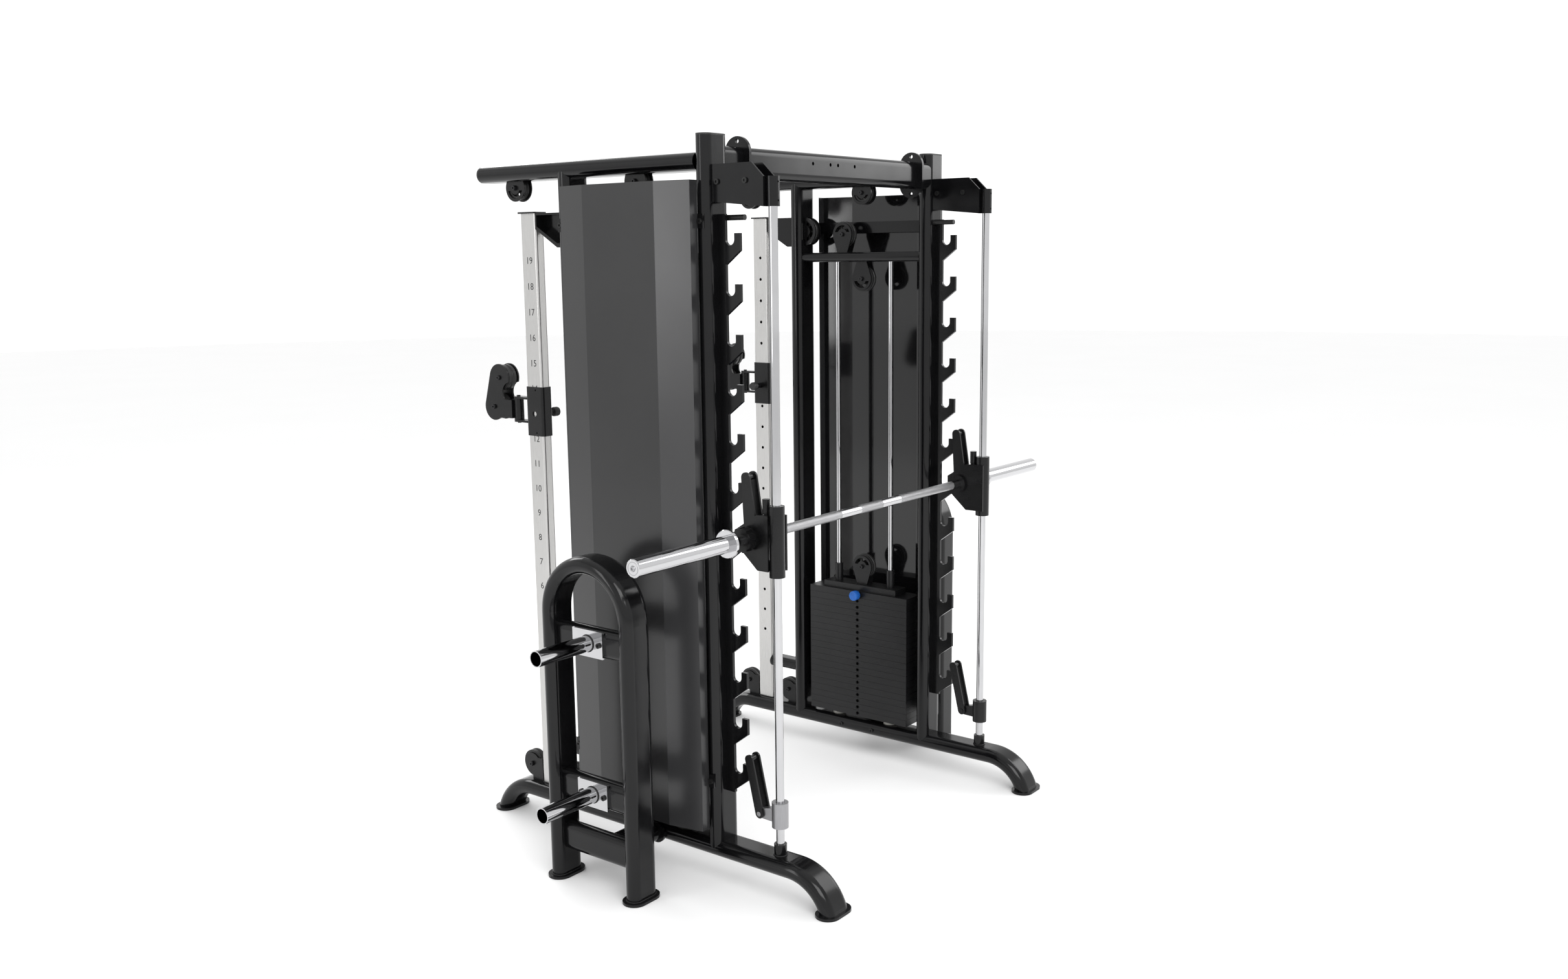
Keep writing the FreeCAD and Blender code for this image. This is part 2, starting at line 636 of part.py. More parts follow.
# ---- hook racks ----
def hook_rack():
    """A toothed plate on the upright's front face, one upturned hook for each step."""
    face = FACE_Y
    edge = FACE_Y - RACK_PROUD
    inner = edge - SLOT_WIDE
    outer = inner - TIP_WIDE
    x0 = -FRAME_X - RACK_THICK / 2
    x1 = -FRAME_X + RACK_THICK / 2
    bottom = TOP_TIP_Z - (HOOKS - 1) * HOOK_PITCH - HOOK_DROP - 8
    pieces = [box(x0, x1, edge, face, bottom, TOP_TIP_Z + RACK_ABOVE)]
    for i in range(HOOKS):
        tip = TOP_TIP_Z - i * HOOK_PITCH
        throat_z = tip - SLOT_DEPTH + SLOT_WIDE / 2
        hook = outline([(edge, tip - HOOK_DROP), (outer, tip - TIP_SIDE), (outer, tip), (inner, tip),
                        (inner, throat_z), (edge, throat_z)], x0, x1)
        throat = rod(SLOT_WIDE / 2, V(x0, SLOT_Y, throat_z), ALONG_X, RACK_THICK)
        hook = hook.cut(throat)
        arm = box(x0, x1, outer, edge, tip - HOOK_DROP, tip - SLOT_DEPTH)
        pieces += [hook.common(arm), hook.cut(arm)]
    return pieces


save("hook_racks", both(hook_rack()))


# ---- bar rods, sockets and top brackets ----
save("smith_rods", both([rod(ROD_R, V(-FRAME_X, ROD_Y, RAIL_TOP), ALONG_Z, CLAMP_TOP - RAIL_TOP)]))
socket = rod(SOCKET_R, V(-FRAME_X, ROD_Y, RAIL_TOP), ALONG_Z, SOCKET_TALL)
socket = socket.cut(rod(ROD_R, V(-FRAME_X, ROD_Y, RAIL_TOP), ALONG_Z, SOCKET_TALL))


def rod_bracket():
    clamp_r = ROD_R + CLAMP_WALL
    clamp_bottom = CLAMP_TOP - CLAMP_TALL
    front = ROD_Y + clamp_r - 8
    side = [(FACE_Y, BRACKET_LOW), (FACE_Y, BRACKET_HIGH), (BRACKET_NOSE_Y, BRACKET_HIGH),
            (front, CLAMP_TOP), (front, clamp_bottom)]
    inner = BRACKET_HALF
    outer = BRACKET_OUTER
    clamp = rod(clamp_r, V(-FRAME_X, ROD_Y, clamp_bottom), ALONG_Z, CLAMP_TALL)
    for z in (clamp_bottom + CLAMP_SCREW_IN, CLAMP_TOP - CLAMP_SCREW_IN):
        clamp = clamp.cut(rod(SCREW_R, V(-FRAME_X, ROD_Y - clamp_r, z), ALONG_Y, CLAMP_WALL + 1))
    pieces = [clamp, outline(side, -FRAME_X - outer, -FRAME_X - inner),
              outline(side, -FRAME_X + inner, -FRAME_X + outer),
              box(-FRAME_X - inner, -FRAME_X + inner, front, front + BRACKET_THICK, clamp_bottom, CLAMP_TOP)]
    rod_bore = rod(ROD_R, V(-FRAME_X, ROD_Y, clamp_bottom), ALONG_Z, CLAMP_TALL)
    return [piece.cut(rod_bore) for piece in apart(pieces)]


save("rod_holders", both([socket] + rod_bracket()))


# ---- smith carriages ----
def carriage():
    bottom = BAR_Z - SLIDE_TALL / 2 - SLIDE_LOW
    tube = rod(SLIDE_R, V(-FRAME_X, ROD_Y, bottom), ALONG_Z, SLIDE_TALL)
    rear = BAR_Y + CHEEK_REAR
    high = BAR_Z + CHEEK_ABOVE
    low = BAR_Z - CHEEK_BELOW
    points = [(ROD_Y + 12, high), (BAR_Y - 28, high), (rear, BAR_Z + 24), (rear, BAR_Z - 24),
              (BAR_Y - 28, low), (ROD_Y + 12, low)]
    long_points = [(ROD_Y - 16, high)] + points[1:5] + [(ROD_Y - 16, low)]
    outer = CHEEK_HALF + CHEEK_THICK
    bridge_front = ROD_Y + SLIDE_R - 3
    bridge_rear = BAR_Y - 42
    bridge = box(-FRAME_X - outer, -FRAME_X + outer, bridge_front, bridge_rear, high - BRIDGE_TALL, high)
    low_bridge = box(-FRAME_X - outer, -FRAME_X + outer, bridge_front, bridge_rear, low, low + BRIDGE_TALL)
    post = rod(POST_R, V(-FRAME_X, ROD_Y + SLIDE_R + POST_R + 3, high), ALONG_Z, POST_TALL)
    pieces = [tube, outline(points, -FRAME_X - outer, -FRAME_X - CHEEK_HALF),
              outline(long_points, -FRAME_X + CHEEK_HALF, -FRAME_X + outer), bridge, low_bridge, post]
    pieces.append(rod(BOSS_R, V(-FRAME_X - outer - BOSS_THICK, BAR_Y, BAR_Z), ALONG_X, BOSS_THICK))
    pieces.append(rod(BOSS_R, V(-FRAME_X + outer, BAR_Y, BAR_Z), ALONG_X, BOSS_THICK))
    rod_bore = rod(ROD_R + SLIDE_CLEAR, V(-FRAME_X, ROD_Y, bottom), ALONG_Z, SLIDE_TALL)
    reach = outer + BOSS_THICK
    bar_bore = rod(SHAFT_R + BORE_CLEAR, V(-FRAME_X - reach, BAR_Y, BAR_Z), ALONG_X, 2 * reach)
    pieces = [piece.cut(bar_bore).cut(rod_bore) for piece in apart(pieces)]
    return sectors(pieces[0], ROD_Y) + pieces[1:]


save("smith_carriages", both(carriage()))

# ---- the bar: shaft, flanges and sleeves ----
sleeve_start = BAR_LENGTH / 2 - SLEEVE_LENGTH


def half_bar():
    sleeve = rod(SLEEVE_R, V(-BAR_LENGTH / 2, BAR_Y, BAR_Z), ALONG_X, SLEEVE_LENGTH)
    end_edge = [edge for edge in sleeve.Edges if abs(edge.CenterOfMass.x + BAR_LENGTH / 2) < 1e-6
                and len(edge.Vertexes) == 1]
    sleeve = sleeve.makeChamfer(2.0, end_edge)
    flange = rod(FLANGE_R, V(-sleeve_start, BAR_Y, BAR_Z), ALONG_X, FLANGE_THICK)
    flange = flange.makeChamfer(2.0, [e for e in flange.Edges if len(e.Vertexes) == 1])
    neck_start = V(-sleeve_start + FLANGE_THICK, BAR_Y, BAR_Z)
    neck = Part.makeCone(SLEEVE_R + 5, SHAFT_R + 5, NECK_LONG, neck_start, ALONG_X)
    return [sleeve, flange.cut(shaft), neck.cut(shaft)]


shaft = rod(SHAFT_R, V(-sleeve_start, BAR_Y, BAR_Z), ALONG_X, 2 * sleeve_start)
save("smith_bar", [shaft] + both(half_bar()))


# ---- latches and their knobs, clamped on the shaft ----
def latch(y, z, reach, lean, hub_r, head_r, pin_r, bore_r, half, thick):
    """Two links either side of the hook rack, and the pin between them that drops in a hook."""
    angle = math.radians(lean)
    pin_y = y + reach * math.sin(angle)
    pin_z = z + reach * math.cos(angle)
    links = []
    for x0 in (-FRAME_X - half - thick, -FRAME_X + half):
        link = strap(y, z, hub_r, pin_y, pin_z, head_r, x0, x0 + thick)
        links.append(link.cut(rod(bore_r, V(x0, y, z), ALONG_X, thick)))
    return links + [rod(pin_r, V(-FRAME_X - half, pin_y, pin_z), ALONG_X, 2 * half)]


def knob():
    """Lobed clamping knob on the shaft, outside the carriage."""
    x0 = -FRAME_X - CHEEK_HALF - CHEEK_THICK - BOSS_THICK - 3 - KNOB_THICK
    body = rod(KNOB_R, V(x0, BAR_Y, BAR_Z), ALONG_X, KNOB_THICK)
    for i in range(KNOB_LOBES):
        angle = math.radians(360 / KNOB_LOBES * i)
        centre = V(x0, BAR_Y + (KNOB_R + 3) * math.cos(angle), BAR_Z + (KNOB_R + 3) * math.sin(angle))
        body = body.cut(rod(7.0, centre, ALONG_X, KNOB_THICK))
    return body.cut(rod(SHAFT_R, V(x0, BAR_Y, BAR_Z), ALONG_X, KNOB_THICK))


latch_left = latch(BAR_Y, BAR_Z, LATCH_REACH, LATCH_LEAN, LATCH_HUB_R, LATCH_HEAD_R, HOOK_PIN_R, SHAFT_R,
                   LATCH_HALF, LATCH_THICK)
save("bar_latches", both(latch_left + [knob()]))


# ---- safety stops ----
def stop_collar():
    top = STOP_Z + 46
    tube = rod(STOP_R, V(-FRAME_X, ROD_Y, top - STOP_TALL), ALONG_Z, STOP_TALL)
    ears = strap(STOP_Y, STOP_Z, STOP_HEAD_R, ROD_Y + 6, STOP_Z + 6, STOP_HEAD_R + 8,
                 -FRAME_X - LATCH_HALF + 1, -FRAME_X + LATCH_HALF - 1)
    pivot = rod(STOP_PIN_R, V(-FRAME_X - LATCH_HALF - LATCH_THICK - 2, STOP_Y, STOP_Z), ALONG_X,
                2 * (LATCH_HALF + LATCH_THICK + 2))
    rod_bore = rod(ROD_R + SLIDE_CLEAR, V(-FRAME_X, ROD_Y, top - STOP_TALL), ALONG_Z, STOP_TALL)
    pieces = [piece.cut(rod_bore) for piece in apart([tube, ears, pivot])]
    return sectors(pieces[0], ROD_Y) + pieces[1:]


collar_left = stop_collar()
arm_left = latch(STOP_Y, STOP_Z, STOP_REACH, STOP_LEAN, STOP_HEAD_R, STOP_HEAD_R, HOOK_PIN_R,
                 STOP_PIN_R + BORE_CLEAR, LATCH_HALF, LATCH_THICK)
for side, shape in (("left", lambda s: s), ("right", mirrored)):
    save(f"stop_collar_{side}", [shape(piece) for piece in collar_left])
    save(f"stop_arm_{side}", [shape(piece) for piece in arm_left])


# ---- weight stacks ----
def guide_places():
    return [STACK_Y - GUIDE_APART / 2, STACK_Y + GUIDE_APART / 2]


def stack_plate(index):
    """Plate number index, counted from the top, with its guide, stem and pin holes."""
    top = STACK_TOP - index * PLATE_PITCH
    low = top - PLATE_PITCH + PLATE_GAP
    face = -FRAME_X + STACK_DEEP / 2
    half_long = STACK_LONG / 2
    plate = box(face - STACK_DEEP, face, STACK_Y - half_long, STACK_Y + half_long, low, top)
    for y in guide_places():
        plate = plate.cut(rod(GUIDE_R + GUIDE_CLEAR, V(-FRAME_X, y, low), ALONG_Z, PLATE_PITCH))
    plate = plate.cut(rod(STEM_R + STEM_CLEAR, V(-FRAME_X, STACK_Y, low), ALONG_Z, PLATE_PITCH))
    middle = (low + top) / 2
    return plate.cut(rod(SELECTOR_R + SELECTOR_CLEAR, V(-FRAME_X, STACK_Y, middle), ALONG_X, STACK_DEEP))


save("weight_plates", both([stack_plate(i) for i in range(1, PLATES)]))

HEAD_WHEEL_Z = HEAD_TOP + 67


def head_and_stem():
    head = box(-FRAME_X - HEAD_DEEP / 2, -FRAME_X + HEAD_DEEP / 2, STACK_Y - HEAD_LONG / 2,
               STACK_Y + HEAD_LONG / 2, STACK_TOP, HEAD_TOP)
    bushes = [rod(GUIDE_BUSH_R, V(-FRAME_X, y, HEAD_TOP), ALONG_Z, GUIDE_BUSH_TALL) for y in guide_places()]
    stem = rod(STEM_R, V(-FRAME_X, STACK_Y, STACK_BOTTOM + 2), ALONG_Z, STACK_TOP - STACK_BOTTOM - 2)
    for i in range(PLATES):
        middle = STACK_TOP - i * PLATE_PITCH - (PLATE_PITCH - PLATE_GAP) / 2
        start = V(-FRAME_X - STEM_R, STACK_Y, middle)
        stem = stem.cut(rod(SELECTOR_R + SELECTOR_CLEAR, start, ALONG_X, 2 * STEM_R))
    guided = []
    for piece in [head] + bushes:
        for y in guide_places():
            start = V(-FRAME_X, y, STACK_TOP)
            piece = piece.cut(rod(GUIDE_R + GUIDE_CLEAR, start, ALONG_Z, HEAD_THICK + GUIDE_BUSH_TALL))
        guided.append(piece)
    return guided + [stem, standing_bracket(STACK_Y, HEAD_WHEEL_Z, HEAD_TOP, WHEEL_R, 180)]


def selector():
    """Selector pin through the top plate, with its round knob outside."""
    face = -FRAME_X + STACK_DEEP / 2
    middle = STACK_TOP - (PLATE_PITCH - PLATE_GAP) / 2
    pin = rod(SELECTOR_R, V(-FRAME_X - STEM_R, STACK_Y, middle), ALONG_X, STEM_R + STACK_DEEP / 2 + 4)
    collar = rod(SELECTOR_R + 4, V(face + 0.5, STACK_Y, middle), ALONG_X, 6)
    grip = rod(SELECTOR_KNOB_R, V(face + 6, STACK_Y, middle), ALONG_X, 22)
    return apart([grip, collar, pin])


for side, shape in (("left", lambda s: s), ("right", mirrored)):
    save(f"top_plate_{side}", [shape(piece) for piece in [stack_plate(0)] + head_and_stem()])
    save(f"selector_pin_{side}", [shape(piece) for piece in selector()])
    save(f"pulley_stack_{side}", [shape(wheel(WHEEL_R, WHEEL_WIDE, -FRAME_X, STACK_Y, HEAD_WHEEL_Z))])

guides = [rod(GUIDE_R, V(-FRAME_X, y, RAIL_TOP), ALONG_Z, MEMBER_BOTTOM - RAIL_TOP) for y in guide_places()]
save("stack_guide_rods", both(guides))
bumpers = []
for y in guide_places():
    bumper = rod(BUMPER_R, V(-FRAME_X, y, RAIL_TOP), ALONG_Z, STACK_BOTTOM + PLATE_GAP - RAIL_TOP)
    bumpers.append(bumper.cut(rod(GUIDE_R, V(-FRAME_X, y, RAIL_TOP), ALONG_Z, STACK_BOTTOM)))
save("stack_bumpers", both(bumpers))
member_start = FRONT_Y + TUBE_FLAT
member = moved(lie_along_y(oval_tube(MEMBER_WIDE, MEMBER_THIN, REAR_Y - TUBE_FLAT - member_start)),
               -FRAME_X, member_start, MEMBER_Z)
save("stack_crossmembers", both([member]))


# ---- shrouds ----
def shroud():
    """Folded sheet in its five panels: a return at each edge, two slanted facets and a flat face."""
    strap_face = FRAME_X + TUBE_WIDE / 2 + STRAP_THICK
    outside = [(strap_face, SHROUD_FRONT), (SHROUD_EDGE_X, SHROUD_FRONT),
               (SHROUD_FACE_X, SHROUD_FRONT + FACET), (SHROUD_FACE_X, SHROUD_REAR - FACET),
               (SHROUD_EDGE_X, SHROUD_REAR), (strap_face, SHROUD_REAR)]
    lean = math.atan2(SHROUD_FACE_X - SHROUD_EDGE_X, FACET)
    fold = SHROUD_SHEET * math.tan((math.pi / 2 - lean) / 2)
    bend = SHROUD_SHEET * math.tan(lean / 2)
    edge_in = SHROUD_EDGE_X - fold
    face_in = SHROUD_FACE_X - SHROUD_SHEET
    inside = [(strap_face, SHROUD_FRONT + SHROUD_SHEET), (edge_in, SHROUD_FRONT + SHROUD_SHEET),
              (face_in, SHROUD_FRONT + FACET + bend), (face_in, SHROUD_REAR - FACET - bend),
              (edge_in, SHROUD_REAR - SHROUD_SHEET), (strap_face, SHROUD_REAR - SHROUD_SHEET)]
    panels = []
    for i in range(len(outside) - 1):
        corners = [outside[i], outside[i + 1], inside[i + 1], inside[i]]
        ring = [V(-x, y, SHROUD_BOTTOM) for x, y in corners + corners[:1]]
        panels.append(Part.Face(Part.makePolygon(ring)).extrude(V(0, 0, SHROUD_TOP - SHROUD_BOTTOM)))
    return panels


save("side_shrouds", both(shroud()))
strap_x = -FRAME_X - TUBE_WIDE / 2
strap_ys = (BOLT_FRONT_Y - STRAP_PAST, REAR_Y + STRAP_PAST)
straps = [box(strap_x - STRAP_THICK, strap_x, *strap_ys, z, z + STRAP_TALL) for z in STRAP_ZS]
save("shroud_straps", both(straps))


# ---- cable columns ----
def rounded_bar(long, deep, radius, length):
    """Bar along +Z, deep along X and long along Y, with rounded corners."""
    bar = box(-deep / 2, deep / 2, -long / 2, long / 2, 0, length)
    corners = [e for e in bar.Edges if abs(e.Vertexes[0].Point.z - e.Vertexes[1].Point.z) > 1]
    return bar.makeFillet(radius, corners)


def hole_z(number):
    return TOP_HOLE_Z - (COLUMN_HOLES - number) * HOLE_PITCH


def column():
    tall = COLUMN_TOP - RAIL_TOP
    tube = rounded_bar(COLUMN_LONG, COLUMN_DEEP, COLUMN_ROUND, tall)
    inner = rounded_bar(COLUMN_LONG - 2 * COLUMN_WALL, COLUMN_DEEP - 2 * COLUMN_WALL,
                        COLUMN_ROUND - COLUMN_WALL, tall)
    tube = moved(tube.cut(inner), -FRAME_X, COLUMN_Y, RAIL_TOP)
    for number in range(1, COLUMN_HOLES + 1):
        start = V(-FRAME_X + COLUMN_DEEP / 2 - 2 * COLUMN_WALL, COLUMN_Y, hole_z(number))
        tube = tube.cut(rod(COLUMN_HOLE_R, start, ALONG_X, 3 * COLUMN_WALL))
    return tube


save("cable_columns", both([column()]))
column_front = COLUMN_Y - COLUMN_LONG / 2
rear_back = REAR_Y + TUBE_FLAT
cap_plate = rounded_bar(COLUMN_LONG + 8, COLUMN_DEEP + 20, COLUMN_ROUND, CAP)
cap_plate = moved(cap_plate, -FRAME_X, COLUMN_Y, COLUMN_TOP)
gusset_rim = [(rear_back, COLUMN_TOP), (column_front, COLUMN_TOP), (column_front, COLUMN_TOP - 48),
              (rear_back + 30, COLUMN_TOP - 105), (rear_back, COLUMN_TOP - 105)]
gusset_inside = [(rear_back + 6, COLUMN_TOP - 6), (column_front - 6, COLUMN_TOP - 6),
                 (column_front - 6, COLUMN_TOP - 40), (rear_back + 30, COLUMN_TOP - 92),
                 (rear_back + 6, COLUMN_TOP - 92)]
web_x = -FRAME_X + GUSSET_HALF - GUSSET_WEB
gusset = [outline(gusset_rim, web_x, web_x + GUSSET_WEB)]
for i in range(len(gusset_rim)):
    j = (i + 1) % len(gusset_rim)
    wall = [gusset_rim[i], gusset_rim[j], gusset_inside[j], gusset_inside[i]]
    gusset.append(outline(wall, -FRAME_X - GUSSET_HALF, web_x))
brace = lie_along_y(oval_tube(BRACE_TALL, BRACE_THIN, column_front - rear_back))
brace = moved(brace, -FRAME_X, rear_back, BRACE_Z)
save("column_braces", both([cap_plate, brace] + gusset))


# ---- trolleys, pop pins and swivels ----
def trolley():
    tube = rounded_bar(TROLLEY_LONG, TROLLEY_DEEP, COLUMN_ROUND + TROLLEY_WALL, TROLLEY_TALL)
    hole = rounded_bar(COLUMN_LONG + 2 * TROLLEY_CLEAR, COLUMN_DEEP + 2 * TROLLEY_CLEAR,
                       COLUMN_ROUND + TROLLEY_CLEAR, TROLLEY_TALL)
    bottom = TROLLEY_Z - TROLLEY_TALL / 2
    back = COLUMN_Y + TROLLEY_LONG / 2
    lug_zs = (REST_HOLE_Z + 43 + LUG_GAP, REST_HOLE_Z + 43 - SWIVEL_TALL - LUG_GAP - LUG_THICK)
    lugs = [fuse([box(-FRAME_X - SWIVEL_R, -FRAME_X + SWIVEL_R, back, SWIVEL_Y, z, z + LUG_THICK),
                  rod(SWIVEL_R, V(-FRAME_X, SWIVEL_Y, z), ALONG_Z, LUG_THICK)]) for z in lug_zs]
    pin_low = lug_zs[1] - 4
    pin_high = lug_zs[0] + LUG_THICK + 4
    hinge_pin = rod(SWIVEL_PIN_R, V(-FRAME_X, SWIVEL_Y, pin_low), ALONG_Z, pin_high - pin_low)
    shell = moved(tube, -FRAME_X, COLUMN_Y, bottom)
    barrel = rod(POP_BARREL_R, V(-FRAME_X + TROLLEY_DEEP / 2, COLUMN_Y, REST_HOLE_Z), ALONG_X, POP_BARREL)
    pin_bore = rod(POP_PIN_R + SELECTOR_CLEAR, V(-FRAME_X, COLUMN_Y, REST_HOLE_Z), ALONG_X, 100)
    shell = shell.cut(moved(hole, -FRAME_X, COLUMN_Y, bottom)).cut(pin_bore)
    outer = -FRAME_X - TROLLEY_DEEP / 2
    shell = shell.cut(rod(WINDOW_R, V(outer - 5, COLUMN_Y, REST_HOLE_Z), ALONG_X, TROLLEY_WALL + 6))
    for dz in (-1, 1):
        screw_z = TROLLEY_Z + dz * (TROLLEY_TALL / 2 - 10)
        shell = shell.cut(rod(SCREW_R, V(outer - 5, COLUMN_Y - 8, screw_z), ALONG_X, TROLLEY_WALL + 6))
    inside = COLUMN_LONG / 2 + TROLLEY_CLEAR
    middle = box(-2 * FRAME_X, 0, COLUMN_Y - inside, COLUMN_Y + inside, 0, UPRIGHT_TOP)
    walls = [shell.common(middle), shell.cut(middle)]
    return walls + [piece.cut(pin_bore) for piece in apart([barrel, hinge_pin] + lugs)]


def pop_pin():
    """Spring pin drawn clear of the column; it slides outwards through the trolley's barrel."""
    column_face = -FRAME_X + COLUMN_DEEP / 2
    tip = column_face + 1.0
    knob_x = -FRAME_X + TROLLEY_DEEP / 2 + POP_BARREL + POP_TRAVEL + 1
    pin = rod(POP_PIN_R, V(tip, COLUMN_Y, REST_HOLE_Z), ALONG_X, knob_x - tip)
    return [pin, rod(POP_KNOB_R, V(knob_x, COLUMN_Y, REST_HOLE_Z), ALONG_X, 20)]


UPPER_Z = REST_HOLE_Z + UPPER_WHEEL[1]
LOWER_Z = REST_HOLE_Z + LOWER_WHEEL[1]


def swivel():
    top = REST_HOLE_Z + 43
    low = top - SWIVEL_TALL
    hub = rod(SWIVEL_R, V(-FRAME_X, SWIVEL_Y, low), ALONG_Z, SWIVEL_TALL)
    inner = GUARD_HALF
    outer = GUARD_HALF + GUARD_THICK
    yoke = box(-FRAME_X - outer, -FRAME_X + outer, SWIVEL_Y + 8, SWIVEL_Y + 40, low + 4, top - 4)
    yoke_inside = box(-FRAME_X - inner, -FRAME_X + inner, SWIVEL_Y + 8, SWIVEL_Y + 40, low + 4, top - 4)
    pieces = [hub, yoke.common(yoke_inside)]
    for x0 in (-FRAME_X - outer, -FRAME_X + inner):
        x1 = x0 + GUARD_THICK
        guard = strap(UPPER_WHEEL[0], UPPER_Z, GUARD_R, LOWER_WHEEL[0], LOWER_Z, GUARD_R, x0, x1)
        notch = rod(34.0, V(x0, SWIVEL_Y + 16, top + 18), ALONG_X, GUARD_THICK)
        cheek = box(x0, x1, SWIVEL_Y + 8, LOWER_WHEEL[0], low + 4, top - 4)
        pieces.append(fuse([guard.cut(notch), cheek]))
    for y, z in ((UPPER_WHEEL[0], UPPER_Z), (LOWER_WHEEL[0], LOWER_Z)):
        pieces.append(rod(AXLE_R, V(-FRAME_X - outer - 3, y, z), ALONG_X, 2 * (outer + 3)))
    pin_bore = rod(SWIVEL_PIN_R + BORE_CLEAR, V(-FRAME_X, SWIVEL_Y, low), ALONG_Z, SWIVEL_TALL)
    return [piece.cut(pin_bore) for piece in apart(pieces)]


for side, shape in (("left", lambda s: s), ("right", mirrored)):
    save(f"trolley_{side}", [shape(piece) for piece in trolley()])
    save(f"pop_pin_{side}", [shape(piece) for piece in pop_pin()])
    save(f"swivel_{side}", [shape(piece) for piece in swivel()])
    save(f"pulley_swivel_upper_{side}",
         [shape(wheel(SWIVEL_WHEEL_R, SWIVEL_WHEEL_WIDE, -FRAME_X, UPPER_WHEEL[0], UPPER_Z))])
    save(f"pulley_swivel_lower_{side}",
         [shape(wheel(SWIVEL_WHEEL_R, SWIVEL_WHEEL_WIDE, -FRAME_X, LOWER_WHEEL[0], LOWER_Z))])


# ---- plate storage arches ----
def arch(wide, thin):
    front = ARCH_Y - ARCH_HALF
    rear_leg = ARCH_Y + ARCH_HALF
    path = [
        Part.LineSegment(V(-ARCH_X, front, FOOT_PLATE), V(-ARCH_X, front, ARCH_SPRING)).toShape(),
        Part.Arc(V(-ARCH_X, front, ARCH_SPRING), V(-ARCH_X, ARCH_Y, ARCH_SPRING + ARCH_HALF),
                 V(-ARCH_X, rear_leg, ARCH_SPRING)).toShape(),
        Part.LineSegment(V(-ARCH_X, rear_leg, ARCH_SPRING), V(-ARCH_X, rear_leg, FOOT_PLATE)).toShape(),
    ]
    return swept(path, wide, thin, lambda w: moved(w, -ARCH_X, front, FOOT_PLATE))


arch_tube = arch(TUBE_WIDE, TUBE_THIN).cut(arch(TUBE_WIDE - 2 * TUBE_WALL, TUBE_THIN - 2 * TUBE_WALL))
legs = box(-2 * ARCH_X, 0, ARCH_Y - 2 * ARCH_HALF, ARCH_Y + 2 * ARCH_HALF, 0, ARCH_SPRING)
arch_pieces = [arch_tube.common(legs)]
far = 2 * ARCH_HALF
for start in range(0, 180, ARCH_SEGMENT):
    rays = [math.radians(start), math.radians(start + ARCH_SEGMENT)]
    wedge = [(ARCH_Y, ARCH_SPRING)]
    for a in rays:
        wedge.append((ARCH_Y + far * math.cos(a), ARCH_SPRING + far * math.sin(a)))
    arch_pieces.append(arch_tube.common(outline(wedge, -2 * ARCH_X, 0)))
save("storage_arches", both(arch_pieces))
bar_start = ARCH_Y - ARCH_HALF + TUBE_FLAT
bar_long = 2 * (ARCH_HALF - TUBE_FLAT)
upright_oval = turned(oval_tube(BEAM_TALL, BEAM_DEEP, bar_long), ALONG_Z, 90)
upright_oval = turned(upright_oval, ALONG_X, -90)
crossbars = [moved(upright_oval, -ARCH_X, bar_start, z) for z in HORN_ZS + (LOW_BAR_Z,)]
link_start = ARCH_X - BEAM_DEEP / 2
rail_side = FRAME_X + TUBE_WIDE / 2
link = moved(lie_along_x(oval_tube(TUBE_WIDE, TUBE_THIN, link_start - rail_side - LINK_FLANGE)),
             -link_start, ARCH_Y, RAIL_Z)
flange = moved(lie_along_x(oval_bar(TUBE_WIDE + 24, TUBE_THIN + 12, LINK_FLANGE)),
               -rail_side - LINK_FLANGE, ARCH_Y, RAIL_Z)
save("arch_crossbars", both(crossbars + [link, flange]))

plate_long, plate_tall, plate_thick = HORN_PLATE
horn_face = -ARCH_X - BEAM_DEEP / 2
horns = []
bolts = []
for z in HORN_ZS:
    plate = box(horn_face - plate_thick, horn_face, ARCH_Y - plate_long / 2, ARCH_Y + plate_long / 2,
                z - plate_tall / 2, z + plate_tall / 2)
    length = HORN_TIP_X + horn_face - plate_thick
    horn = rod(HORN_R, V(-HORN_TIP_X, ARCH_Y, z), ALONG_X, length)
    horn = horn.cut(rod(HORN_R - HORN_WALL, V(-HORN_TIP_X, ARCH_Y, z), ALONG_X, length))
    for side in (-1, 1):
        y = ARCH_Y + side * (plate_long / 2 - 14)
        start = V(horn_face - plate_thick, y, z)
        plate = plate.cut(rod(BOLT_SHANK_R + BOLT_CLEAR, start, ALONG_X, plate_thick))
        bolts.append((V(horn_face, y, z), V(-1, 0, 0), plate_thick))
    horns += [horn, plate]
save("plate_horns", both(horns))


# ---- fasteners ----
def bolt(seat, direction, grip):
    """Button-head bolt: seat is where its shank ends, direction points to its head."""
    head_at = seat + direction * grip
    shank = rod(BOLT_SHANK_R, seat, direction, grip)
    head = rod(BOLT_HEAD_R, head_at, direction, BOLT_HEAD_TALL)
    socket_cut = rod(BOLT_SOCKET_R, head_at + direction * (BOLT_HEAD_TALL - 3), direction, 3)
    return fuse([shank, head]).cut(socket_cut)


def stud(seat, direction):
    """Bolt head on a face, its shank out of sight in the tube."""
    head = rod(BOLT_HEAD_R, seat, direction, BOLT_HEAD_TALL)
    return head.cut(rod(BOLT_SOCKET_R, seat + direction * (BOLT_HEAD_TALL - 3), direction, 3))


